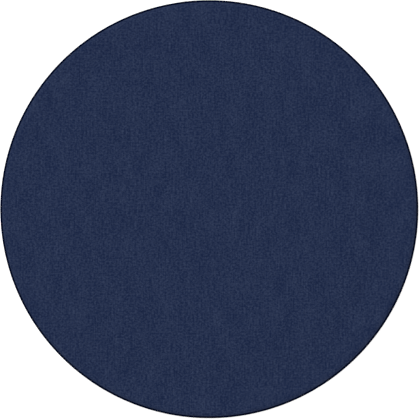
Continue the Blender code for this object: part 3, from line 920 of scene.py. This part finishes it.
def strip_shift(seed):
    """Moves the strip's points: puckers below the seam, a fold that wavers, and drawn-in ends."""

    def shift(section, angles):
        radius, height = section.T
        away = height - MID_Z
        along = angles[:, None] * RADIUS
        from_end = np.minimum(angles - strip_ends[0], strip_ends[1] - angles)[:, None] * RADIUS
        waver = 0.00013 * ripple(along, 0.021, seed) * (1 - fade(away, 0.008, 0.013))
        near = (1 - fade(BAND_TOP_Z - height, 0.001, 0.007)) * fade(radius, SEAM_R, PANEL_R - 0.0012)
        pucker = 0.00030 * (ripple(along, 0.0088, seed + 3) - 0.6) * near
        stitched = -0.00018 * np.exp(-(((away - STITCH_ROW) / 0.0006) ** 2)) * (radius > HEM_OUT_R - 0.0002)
        seam = -0.0005 * (1 - fade(from_end, 0, 0.0012))
        return np.stack([pucker + stitched + seam, waver + 0 * pucker], axis=-1)

    return shift


strip_angles = arc_steps(*strip_ends, 0.0013)
strip_width = run_along(smooth_line(down_face, 0.0007))[-1]
for side, seed in (("upper", 21), ("lower", 27)):
    strip = arc_body(f"zip_strip_{side}", strip_section, strip_angles, strip_shift(seed), side == "lower")
    finished(strip, f"zip_band_{side}", navy)
print(f"strips cut {1000 * strip_width:.0f} mm wide")


# %% [markdown]
# ## End tabs
# A tab of the cover's cloth closes each end of the zip, so that the slider can't run off. It is
# sewn down with a box of stitches.

# %% the tabs
TAB_LENGTH, TAB_R, TAB_BOX = 0.012, 0.1955, 0.0012
TAB_ANGLE = TAB_LENGTH / TAB_R
tab_in, tab_out = COIL_OUT_R + 0.0003, COIL_OUT_R + 0.0003 + COVER_CLOTH
tab_half = FOLD - 0.0001
tab_upper = [
    (tab_in, MID_Z + tab_half - 0.0003),
    (tab_in + 0.0003, MID_Z + tab_half),
    (tab_out - 0.0004, MID_Z + tab_half),
    (tab_out, MID_Z + tab_half - 0.0005),
]
tab_section = evened(smooth_line(np.vstack([tab_upper, mirrored(tab_upper)]), 0.0004))


def tab_shift(section, angles):
    """The tab's ends are rounded off, and the stitched box is pressed in a little."""
    from_end = np.minimum(angles - angles[0], angles[-1] - angles)[:, None] * RADIUS
    radius, height = section.T
    outer = fade(radius, tab_in, tab_out)
    rounding = -0.0005 * (1 - fade(from_end, 0, 0.0008)) * outer
    middle = np.abs(height - MID_Z)
    box = np.maximum(middle - (tab_half - TAB_BOX), TAB_BOX - from_end)
    pressed = -0.00012 * np.exp(-((box / 0.0005) ** 2)) * outer
    return np.stack([rounding + pressed, np.zeros_like(rounding)], axis=-1)


tab_starts = {"right": strip_ends[0], "left": strip_ends[1] - TAB_ANGLE}
for side, first in tab_starts.items():
    tab = arc_body(f"end_tab_{side}", tab_section, arc_steps(first, first + TAB_ANGLE, 0.0004), tab_shift)
    finished(tab, f"zip_end_tab_{side}", navy)

# %% [markdown]
# ## Piping
# A strip of cloth cut on the slant folds round a cord, and its two edges go into the seam together.
# Cut on the slant it bends round the circle without creasing. Its own two ends meet at the back in
# a slanting join, a little thicker than the rest.


# %% the piping's cover
FLANGE = 0.00075
PIPING_JOIN = math.radians(96)


def piping_line():
    """The outer side of the folded strip, from one edge to the other."""
    open_by = math.asin(FLANGE / PIPING_R)
    around = np.linspace(math.pi - open_by - 0.35, -math.pi + open_by + 0.35, 26)
    bend = np.stack([PIPING_CENTRE_R + PIPING_R * np.cos(around), PIPING_Z + PIPING_R * np.sin(around)], 1)
    upper = np.stack([np.linspace(ALLOWANCE_R, SEAM_R, 5), np.full(5, PIPING_Z + FLANGE)], axis=1)
    return np.vstack([upper, bend, upper[::-1] - [0, 2 * FLANGE]])


def piping(name, node, seed, below):
    """The folded strip round its cord as a sheet. It swells a little at the join."""
    line = piping_line()
    angles = np.linspace(0, math.tau, 1080, endpoint=False)
    run = run_along(line)
    along = angles * RADIUS - PIPING_JOIN * RADIUS
    off_join = along[None, :] - (run[:, None] - run[-1] / 2)
    swell = 0.00010 * np.exp(-((off_join / 0.0045) ** 2)) - 0.00022 * np.exp(-((off_join / 0.0006) ** 2))
    for depth, wavelength, turn in ((0.00003, 0.0117, 0), (0.00002, 0.0041, 1)):
        swell = swell + depth * ripple(angles * RADIUS, wavelength, seed + turn)
    out = line - [PIPING_CENTRE_R, PIPING_Z]
    out /= np.linalg.norm(out, axis=1, keepdims=True)
    swell = swell * fade(line[:, :1], SEAM_R - 0.0004, SEAM_R + 0.0012)
    radii, heights = line[:, :1] + out[:, :1] * swell, line[:, 1:] + out[:, 1:] * swell
    points = round_surface(radii, lowered(heights, below), angles)
    centre = np.broadcast_to(polar(PIPING_CENTRE_R, angles, lowered(PIPING_Z, below)), points.shape)
    flat = np.stack(np.meshgrid(angles * RADIUS, run), axis=-1)
    faces = facing_out(points, grid_faces(*points.shape[:2], join_columns=True), centre)
    made = thicken(mesh_piece(name, points, faces, flat, (math.tau * RADIUS, 0)), PIPING_CLOTH)
    made.modifiers["cloth"].use_even_offset = False
    finished(made, node, bias)
    return run[-1]


for side, seed in (("top", 31), ("base", 37)):
    piping_width = piping(f"{side}_piping", f"{side}_piping_cover", seed, side == "base")
print(f"bias strip cut {1000 * piping_width:.0f} mm wide")

# %% [markdown]
# ## Piping cord
# The cord is three cotton strands laid round each other. Its section is a circle with three lobes
# that turns as it goes along, which is what laying the strands does.

# %% the cords
CORD_R = PIPING_R - PIPING_CLOTH - 0.00045
LAY = 0.009


def cord(name, node, below):
    """A tube round the axis whose three lobes turn once in each lay, rounded to whole turns."""
    turns = round(math.tau * PIPING_CENTRE_R / LAY)
    angles = np.linspace(0, math.tau, turns * 11, endpoint=False)
    around = np.linspace(0, math.tau, 12, endpoint=False)[:, None]
    lobes = CORD_R * (0.80 + 0.20 * np.abs(np.cos(1.5 * (around - turns * angles))))
    radii = PIPING_CENTRE_R + lobes * np.cos(around)
    heights = (BASE_PIPING_Z if below else PIPING_Z) + lobes * np.sin(around)
    points = round_surface(radii, heights, angles)
    flat = np.stack(np.broadcast_arrays(angles * PIPING_CENTRE_R, around * CORD_R), axis=-1)
    periods = (math.tau * PIPING_CENTRE_R, math.tau * CORD_R)
    faces = facing_out(points, grid_faces(*points.shape[:2], join_rows=True, join_columns=True))
    finished(mesh_piece(name, points, faces, flat, periods), node, cotton)


for side in ("top", "base"):
    cord(f"{side}_cord", f"{side}_piping_cord", side == "base")

# %% [markdown]
# ## Zip tapes and coils
# Each tape is a thin woven band. On its edge sits a coil: one nylon thread wound into flat loops,
# whose heads stand towards the other side's. Both coils step along by half a loop between them.
# Between the two sides there is just the room that the slider's post needs.
# Loops are a tube carried along a path that circles in the section while it moves along the zip.

# %% tapes
TAPE_IN_R, TAPE_OUT_R = COIL_OUT_R - 0.0025, COIL_OUT_R - 0.0019
TAPE_SHORT, TAPE_WIDTH = 0.0015, 0.0100
POST_HALF = 0.0002
tape_ends = (strip_ends[0] + TAPE_SHORT / RADIUS, strip_ends[1] - TAPE_SHORT / RADIUS)
tape_angles = arc_steps(*tape_ends, 0.002)
tape_z = MID_Z + np.linspace(POST_HALF + 0.00007, TAPE_WIDTH, 18)
rounded = 0.0001 * np.isin(np.arange(len(tape_z)), (0, len(tape_z) - 1))
tape_section = np.vstack([
    np.stack([TAPE_IN_R + rounded, tape_z], axis=1),
    np.stack([TAPE_OUT_R - rounded, tape_z[::-1]], axis=1),
])
for side in ("upper", "lower"):
    tape = arc_body(f"tape_{side}", tape_section, tape_angles, below=side == "lower")
    finished(tape, f"zip_tape_{side}", tape_cloth)

# %% coils
LOOP_PITCH = 0.0014
THREAD_R = 0.00035
COIL_MID_R = COIL_OUT_R - 0.0008


def coil(name, node, below):
    """A tube of six sides along the winding: each loop circles once in the section, flattened
    along the radius, and moves on by one pitch, mostly while it runs back behind."""
    loops = round((strip_ends[1] - strip_ends[0]) * COIL_MID_R / LOOP_PITCH)
    t = np.arange(loops * 9 + 1) / 9
    if below:
        t = t + 0.5
    wound = math.tau * t
    phi = (t + 0.10 * np.sin(wound)) * LOOP_PITCH / COIL_MID_R
    phi = strip_ends[0] + 0.0006 / COIL_MID_R + phi * (1 - 0.0030 / (loops * LOOP_PITCH))
    r = COIL_MID_R + 0.00044 * np.sin(wound)
    z = 0.00188 - 0.00117 * np.cos(wound)
    z = MID_Z - z if below else MID_Z + z
    path = polar(r, phi, z)
    sideways = polar(1, phi + math.pi / 2, 0)
    ahead = np.gradient(path, axis=0)
    across = np.cross(ahead, sideways)
    across /= np.linalg.norm(across, axis=1, keepdims=True)
    beside = np.cross(across, ahead)
    beside /= np.linalg.norm(beside, axis=1, keepdims=True)
    around = np.linspace(0, math.tau, 6, endpoint=False)[None, :, None]
    spoke = np.cos(around) * across[:, None] + np.sin(around) * beside[:, None]
    points = path[:, None] + THREAD_R * spoke
    faces = facing_out(points, stacked_faces(len(path), 6))
    finished(mesh_piece(name, points, faces), node, nylon)
    return loops


for side in ("upper", "lower"):
    loops = coil(f"coil_{side}", f"zip_coil_{side}", side == "lower")
print(f"{loops} loops a side")

# %% [markdown]
# ## Slider and pull
# The slider is die cast: two plates joined by a post, with flanges that hold the coils in, and an
# arch on top for the pull. Cast and then painted, it has no sharp edge anywhere.
# Each of its parts is an outline with its edge rounded off, so they share one formula.


# %% rounded plates
EDGE_STEPS = 4


def rounded_plate(outline, low, high, rounding):
    """Points and faces of a plate with that outline between two heights. At each face the edge
    draws in along a quarter circle. The outline is symmetric, from one end and back to it."""
    outline = np.asarray(outline, dtype=float)
    ahead = np.roll(outline, -1, axis=0) - np.roll(outline, 1, axis=0)
    normal = np.stack([ahead[:, 1], -ahead[:, 0]], axis=1) / np.linalg.norm(ahead, axis=1, keepdims=True)
    area = (outline[:, 0] * np.roll(outline[:, 1], -1) - outline[:, 1] * np.roll(outline[:, 0], -1)).sum()
    normal *= math.copysign(1, area)
    turn = np.linspace(0, math.pi / 2, EDGE_STEPS + 1)
    inset = rounding * (1 - np.sin(turn))
    rise = low + rounding * (1 - np.cos(turn))
    insets = np.concatenate([inset, inset[::-1]])[:, None, None]
    rises = np.concatenate([rise, low + high - rise[::-1]])
    rings = outline - insets * normal
    points = raised(rises[:, None], rings)
    return points.reshape(-1, 3), facing_out(points, stacked_faces(len(rises), len(outline)))


def both_sides(half_outline):
    """A closed outline from the half of it above the line of symmetry."""
    half_outline = np.asarray(half_outline, dtype=float)
    return np.vstack([half_outline, half_outline[::-1] * [1, -1]])


def raised(heights, flat):
    """Points with their height first, before the pair that they have in the plane."""
    return np.concatenate([np.broadcast_to(heights[..., None], (*flat.shape[:2], 1)), flat], axis=-1)


def joined(parts):
    """One set of points and faces from several."""
    offsets = np.cumsum([0] + [len(points) for points, _ in parts[:-1]])
    faces = [faces + offset for (_, faces), offset in zip(parts, offsets)]
    return np.vstack([points for points, _ in parts]), np.vstack(faces)


def at_slider(points, angle):
    """Points given outwards, along and up from the slider's middle, put in their place."""
    out, along, up = np.asarray(points).T
    x = out * math.cos(angle) - along * math.sin(angle)
    y = out * math.sin(angle) + along * math.cos(angle)
    return np.stack([x, y, up + MID_Z], axis=-1)


# %% where the slider is
swing = next(joint for joint in frame["joints"] if joint["name"] == "pull_swing")
pivot = swing["pos_m"]
slider_at = math.atan2(pivot[1], pivot[0])
pivot_r = math.hypot(pivot[0], pivot[1])
WING_OUT_R, WING_IN_R = COIL_OUT_R + 0.0017, COIL_OUT_R + 0.0006
REAR_IN_R, REAR_OUT_R = COIL_OUT_R - 0.0045, COIL_OUT_R - 0.0034
print(f"slider at {math.degrees(slider_at):.1f} degrees, pull turns at {1000 * pivot_r:.2f} mm")

# %% the slider
HALF_LENGTH, WIDE, NARROW = 0.0055, 0.0052, 0.0046
nose = [(-HALF_LENGTH + 0.0004, 0.0003), (-HALF_LENGTH, 0.0012), (-HALF_LENGTH, 0.0026)]
shield = smooth_line(nose + [
    (-HALF_LENGTH + 0.0004, WIDE - 0.0007),
    (-HALF_LENGTH + 0.0012, WIDE),
    (-HALF_LENGTH + 0.0030, WIDE - 0.0001),
    (-0.0004, NARROW),
    (HALF_LENGTH - 0.0018, NARROW),
    (HALF_LENGTH - 0.0006, NARROW - 0.0006),
    (HALF_LENGTH, NARROW - 0.0018),
    (HALF_LENGTH, 0.0003),
], 0.0005)


def bar_outline(along, up, corner=0.0003):
    """A rectangle with rounded corners, as far as its line of symmetry."""
    turn = np.radians([180, 150, 120, 90])
    centre = [along[0] + corner, up - corner]
    left = centre + corner * np.stack([np.cos(turn), np.sin(turn)], axis=1)
    return np.vstack([left, left[::-1] * [-1, 1] + [along[0] + along[1], 0]])


def flange(side):
    """The rim along one edge that keeps a coil between the plates, on the inner plate's side."""
    outline = both_sides(bar_outline((-HALF_LENGTH + 0.0013, HALF_LENGTH - 0.0012), 0.00035))
    outline = outline + [0, side * (NARROW - 0.00045)]
    return rounded_plate(outline, TAPE_OUT_R + 0.0006, WING_IN_R + 0.0002, 0.0001)


def arch():
    """A flat bar bent over the pull's axle: its line rises, runs level and falls, and its section
    is a rounded rectangle."""
    rising = WING_OUT_R * np.array([[1, 0]]) + np.array([
        (-0.0006, -0.0028), (0.0008, -0.0027), (0.0019, -0.0022), (0.0023, -0.0010),
    ])
    line = smooth_line(np.vstack([rising, rising[::-1] * [1, -1]]), 0.0003)
    ahead = np.gradient(line, axis=0)
    normal = np.stack([ahead[:, 1], -ahead[:, 0]], axis=1) / np.linalg.norm(ahead, axis=1, keepdims=True)
    turn = np.linspace(0, math.tau, 12, endpoint=False)
    flat, thick = (
        half * np.sign(wave) * np.abs(wave) ** 0.5
        for half, wave in ((0.0008, np.sin(turn)), (0.00034, np.cos(turn)))
    )
    spread = line[:, None] + thick[None, :, None] * normal[:, None]
    points = np.concatenate([spread, np.broadcast_to(flat[None, :, None], (*spread.shape[:2], 1))], axis=-1)
    return points.reshape(-1, 3), facing_out(points, stacked_faces(len(line), len(turn)))


post = both_sides(bar_outline((-HALF_LENGTH + 0.0001, -HALF_LENGTH + 0.0025), POST_HALF, 0.00015))
parts = [
    rounded_plate(both_sides(shield), WING_IN_R, WING_OUT_R, 0.0004),
    rounded_plate(both_sides(shield), REAR_IN_R, REAR_OUT_R, 0.0004),
    rounded_plate(post, REAR_OUT_R - 0.0002, WING_IN_R + 0.0002, 0.0001),
    flange(1),
    flange(-1),
    arch(),
]
points, faces = joined(parts)
slider = mesh_piece("slider", at_slider(points, slider_at), faces)
finished(slider, "zip_slider_body", paint, "zip_slider")

# %% [markdown]
# The pull is stamped from plate: a neck with a window that leaves a bar at its end, for the arch,
# and a paddle with a hole. Each of the two is a plate with one hole, which is a ring: its section
# goes over the top, down the hole and back below while it is carried round.

# %% the pull
PULL_LENGTH, PULL_HALF, PULL_THICK = 0.018, 0.0030, 0.00055
HOLE_R = 0.0014
OUTLINE_POINTS = 56


def pierced_plate(outside, inside, half_thick, rounding):
    """Points and faces of a plate between an outer and an inner outline of as many points. Its
    section is a rounded rectangle whose long side runs from one outline to the other."""
    corner = np.linspace(0, math.pi / 2, 4)
    draw_in, drop = rounding * (1 - np.sin(corner)), half_thick - rounding * (1 - np.cos(corner))
    width = np.linalg.norm(outside - inside, axis=1)[:, None]
    over = np.concatenate([draw_in[::-1] / width, 1 - draw_in / width], axis=1)
    share = np.concatenate([over, over[:, ::-1]], axis=1)
    height = np.concatenate([drop[::-1], drop, -drop[::-1], -drop])
    flat = outside[:, None] + share[..., None] * (inside - outside)[:, None]
    points = raised(height, flat)
    faces = grid_faces(*points.shape[:2], join_rows=True, join_columns=True)
    return points.reshape(-1, 3), facing_out(points, faces)


def even_outline(half):
    """The closed outline through the corners of one half and of its mirror image, as evenly spaced
    points. The half runs from the line of symmetry and back to it."""
    corners = half + [(along, -up) for along, up in half[-2:0:-1]]
    line = smooth_line(corners + corners[:1], 0.0001)
    return line[np.linspace(0, len(line), OUTLINE_POINTS, endpoint=False).astype(int)]


neck_out = even_outline([
    (-0.00055, 0), (-0.00055, 0.0018), (-0.0001, 0.0025), (0.0010, 0.0026), (0.0030, 0.0026),
    (0.0048, 0.0027), (0.0064, 0.0028), (0.0070, 0.0020), (0.0072, 0),
])
neck_in = even_outline([
    (0.00055, 0), (0.00058, 0.0009), (0.0010, 0.0013), (0.0026, 0.0013), (0.0038, 0.0013),
    (0.0043, 0.0009), (0.0043, 0),
])
end = PULL_LENGTH - PULL_HALF
paddle_out = even_outline([
    (0.0060, 0), (0.0060, 0.0020), (0.0066, 0.0027), (0.0085, 0.0029), (0.0115, PULL_HALF),
    (end, PULL_HALF), (end + 0.0015, 0.0026), (end + 0.0026, 0.0015), (end + PULL_HALF, 0),
])
turn = np.linspace(math.pi, -math.pi, OUTLINE_POINTS, endpoint=False)
paddle_in = [end, 0] + HOLE_R * np.stack([np.cos(turn), np.sin(turn)], axis=1)
points, faces = joined([
    pierced_plate(neck_out, neck_in, PULL_THICK, 0.00022),
    pierced_plate(paddle_out, paddle_in, 0.9 * PULL_THICK, 0.00022),
])
pull = mesh_piece("pull", at_slider(points + [pivot_r, 0, 0], slider_at), faces)
finished(pull, "zip_pull", paint, "zip_pull")

# %% [markdown]
# ## Stitches
# Topstitching shows on the strips and the tabs. Each stitch is a short stretch of thread that dips
# into the cloth at both ends, so one small arched tube is made and repeated.

# %% stitches
STITCH, THREAD = 0.0028, 0.00024


def stitch_shape():
    """A tube of six sides that rises from the cloth, runs and dips back, along its first axis."""
    along = np.linspace(-0.46, 0.46, 6)
    rise = THREAD * (0.9 - 3.2 * (2 * np.abs(along)) ** 6)
    width = THREAD * np.array([0.55, 1, 1, 1, 1, 0.55])
    turn = np.linspace(0, math.tau, 6, endpoint=False)
    y, z = width[:, None] * np.cos(turn), rise[:, None] + width[:, None] * np.sin(turn)
    x = np.broadcast_to(along[:, None] * STITCH, y.shape)
    points = np.stack([x, y, z], axis=-1).reshape(-1, 3)
    return points, facing_out(points, stacked_faces(6, 6))


def row_of_stitches(angles, radius, height, upright=False):
    """Where stitches go along a level row, or an upright one: origins and the three axes there."""
    angles, height = np.broadcast_arrays(np.asarray(angles, float), np.asarray(height, float))
    origins = polar(radius, angles, height)
    out, level = polar(1, angles, 0), polar(1, angles + math.pi / 2, 0)
    up = np.broadcast_to([0.0, 0.0, 1.0], out.shape)
    axes = [up, -level, out] if upright else [level, up, out]
    return origins, np.stack(axes, axis=1)


rows = []
strip_rows = arc_steps(strip_ends[0] + 0.008, strip_ends[1] - 0.008, STITCH, HEM_OUT_R)
for sign in (1, -1):
    waver = 0.00008 * ripple(strip_rows * RADIUS, 0.031, 50 + sign)
    rows.append(row_of_stitches(strip_rows, HEM_OUT_R - 0.00005, MID_Z + sign * (STITCH_ROW + waver)))
for first in tab_starts.values():
    inset = TAB_BOX / RADIUS
    level = np.linspace(first + 2.2 * inset, first + TAB_ANGLE - 2.2 * inset, 3)
    for sign in (1, -1):
        rows.append(row_of_stitches(level, tab_out, MID_Z + sign * (tab_half - TAB_BOX)))
    upright = MID_Z + np.array([-0.0025, 0, 0.0025])
    for angle_at in (first + inset, first + TAB_ANGLE - inset):
        rows.append(row_of_stitches(angle_at, tab_out, upright, upright=True))
origins, axes = (np.concatenate(parts) for parts in zip(*rows))
points, faces = copies(*stitch_shape(), origins, axes)
finished(mesh_piece("topstitching", points, faces), None, thread)
print(f"{len(origins)} stitches")

# %% [markdown]
# ## Non-slip dots
# Rubber dots are printed on the base in a staggered pattern. A printed dot is a low dome, flattened
# where it rests. The same dome is repeated inside a circle.

# %% dots
DOT_PITCH, DOT_R = 0.0110, 0.0021
base_z = MIRROR_Z - TOP_Z
grip_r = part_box("grip_dots")[1][0]


def dot_shape():
    """A low dome that points down, from its rim in the cloth to its flat rest."""
    radii = DOT_R * np.array([0.98, 1.0, 0.94, 0.80, 0.55])
    heights = np.array([base_z + 0.00012, base_z - 0.00010, 0.00052, 0.00018, 0.0])
    turn = np.linspace(0, math.tau, 12, endpoint=False)
    points = round_surface(radii, heights, turn).reshape(-1, 3)
    return points, facing_out(points, stacked_faces(5, 12))


row, column = np.meshgrid(np.arange(-24, 25), np.arange(-20, 21), indexing="ij")
dot_x = (column + 0.5 * (row % 2)) * DOT_PITCH
dot_y = row * DOT_PITCH * math.sqrt(3) / 2
keep = np.hypot(dot_x, dot_y) < grip_r - 2 * DOT_R
places = np.stack([dot_x[keep], dot_y[keep], np.zeros(keep.sum())], axis=-1)
points, faces = copies(*dot_shape(), places, np.broadcast_to(np.eye(3), (len(places), 3, 3)))
finished(mesh_piece("dots", points, faces), "grip_dots", rubber)
print(f"{len(places)} dots")

# %% [markdown]
# ## Filling
# Inside are two slabs of foam between sheets of wadding, and a roll of wadding round the side.
# The foams are cut square, with edges that crush a little. The top wadding swells into the crown
# that the seat has. All of them are built from two discs that share their rim.

# %% foam and wadding
FOAM_R = ALLOWANCE_R - 0.0006
SLAB_EDGE = 0.0018


def unshifted(radii, angles):
    """No height to add to a face."""
    return 0


def slab(
    name, node, low, high, material, fill,
    above=unshifted, below=unshifted, rim=FOAM_R, edge_round=SLAB_EDGE,
):
    """A round slab between two heights. Its edge is rounded, and its rim is cut a little unevenly.
    above and below add height to its two faces, inside the rim."""
    half = (high - low) / 2
    small = min(edge_round, 0.9 * half)
    turn = np.linspace(math.pi / 2, 0, 6)
    corner = np.stack([rim - small + small * np.cos(turn), high - small + small * np.sin(turn)], axis=1)
    side = np.stack([np.full(4, rim), np.linspace(high - small, low + half, 5)[1:]], axis=1)
    profile, _ = disc_profile(np.vstack([corner, side]), 0.0042)
    number, turned = square_rings(len(profile) - 1)
    r, z = profile[number].transpose(2, 0, 1)
    uneven = 0.00025 * ripple(turned * RADIUS, 0.037, len(name)) * fade(r, rim - 0.006, rim)
    r = r + uneven
    inside = 1 - fade(number, len(profile) - 9, len(profile) - 2)
    upper = z + above(r, turned) * inside
    lower = low + high - z + below(r, turned) * inside
    points, faces = two_faced(polar(r, turned, upper), polar(r, turned, lower))
    made = mesh_piece(name, points, faces)
    return finished(made, node, material)


def box_z(node):
    """Where the solid's box starts and ends in height."""
    return [corner[2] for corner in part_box(node)]


def loft(radii, angles):
    """The wadding's own unevenness, as soft waves in both directions."""
    x, y = radii * np.cos(angles), radii * np.sin(angles)
    return 0.00018 * (np.sin(x / 0.0131 + 1.3) * np.sin(y / 0.0117) + np.sin((x + y) / 0.0083) * 0.5)


slab("comfort_slab", "comfort_foam", *box_z("comfort_foam"), soft_foam, 1.0)
slab("support_slab", "support_foam", *box_z("support_foam"), firm_foam, 1.0)
wadding_low, wadding_high = box_z("comfort_foam")[1] + 0.0003, TOP_Z - COVER_CLOTH - 0.0006
WADDING_R = FOAM_R - 0.0004
slab(
    "top_fibre", "top_wadding", wadding_low, wadding_high, polyester, 0.9,
    above=lambda r, t: crown(r, t) + loft(r, t) - 0.0002, edge_round=0.0030, rim=WADDING_R,
)
slab(
    "base_fibre", "base_wadding", MIRROR_Z - wadding_high, MIRROR_Z - wadding_low, polyester, 0.8,
    below=loft, edge_round=0.0030, rim=WADDING_R,
)

# %% the side's wadding
side_upper = [
    (FOAM_R + 0.0006, PIPING_LOW - 0.0030),
    (FOAM_R + 0.0022, PIPING_LOW - 0.0018),
    (PANEL_R - 0.0035, PIPING_LOW - 0.0024),
    (PANEL_R - 0.0021, MID_Z + 0.0090),
]
side_line = np.vstack([side_upper, (PANEL_R - 0.0018, MID_Z), mirrored(side_upper)])
side_section = evened(smooth_line(side_line, 0.0014))


def side_loft(section, angles):
    """The roll is a little lumpy, and its ends thin out where the band is drawn in."""
    along = angles[:, None] * RADIUS
    from_end = np.minimum(angles - band_ends[0], band_ends[1] - angles)[:, None] * RADIUS
    outer = fade(section[:, 0], FOAM_R, PANEL_R - 0.002)
    lumpy = -0.00035 * (1 + ripple(along, 0.027, 61)) * outer
    thinner = -0.0030 * (1 - fade(from_end, 0.0005, 0.0180)) * outer
    return np.stack([lumpy + thinner, 0 * lumpy], axis=-1)


roll = arc_body("side_fibre", side_section, arc_steps(*band_ends, 0.003), side_loft)
finished(roll, "side_wadding", polyester)

# %% [markdown]
# ## Floor and light
# The cushion lies on a plain pale floor under a wide soft sky, as in a light tent, with one large
# lamp from the upper left. The floor glows a little for the camera only, so that it stays clean
# round the cushion and still takes a soft shadow.

# %% floor
FLOOR_GLOW = 0.72
FLOOR_HALF = 15.0
corners = FLOOR_HALF * np.array([(-1, -1, 0), (1, -1, 0), (1, 1, 0), (-1, 1, 0.0)])
floor = mesh_piece("floor", corners, np.array([[0, 1, 2, 3]]))
pale, tree, shader = blank_material("pale_floor", "", 0.9)
seen = put(tree, "ShaderNodeLightPath").outputs["Is Camera Ray"]
named(shader, Base_Color=(0.8, 0.8, 0.8, 1), Specular_IOR_Level=0.1, Emission_Color=(1, 1, 1, 1))
named(shader, Emission_Strength=calc(tree, "MULTIPLY", seen, FLOOR_GLOW))
floor.data.materials.append(pale)

# %% light
SKY = 0.7
LAMP_STRENGTH = 1.15
LAMP_SPREAD = math.radians(40)
LAMP_TURN = (math.radians(-24), math.radians(-25), 0)

sky = bpy.data.worlds.new("sky")
sky.use_nodes = True
tree = sky.node_tree
seen = put(tree, "ShaderNodeLightPath").outputs["Is Camera Ray"]
strength = calc(tree, "MULTIPLY_ADD", seen, 1 - SKY, SKY)
named(tree.nodes["Background"], Color=(1, 1, 1, 1), Strength=strength)
bpy.context.scene.world = sky

lamp = bpy.data.lights.new("lamp", "SUN")
lamp.energy = LAMP_STRENGTH
lamp.angle = LAMP_SPREAD
lamp_at = bpy.data.objects.new("lamp", lamp)
lamp_at.rotation_euler = LAMP_TURN
bpy.context.scene.collection.objects.link(lamp_at)
print("lit")
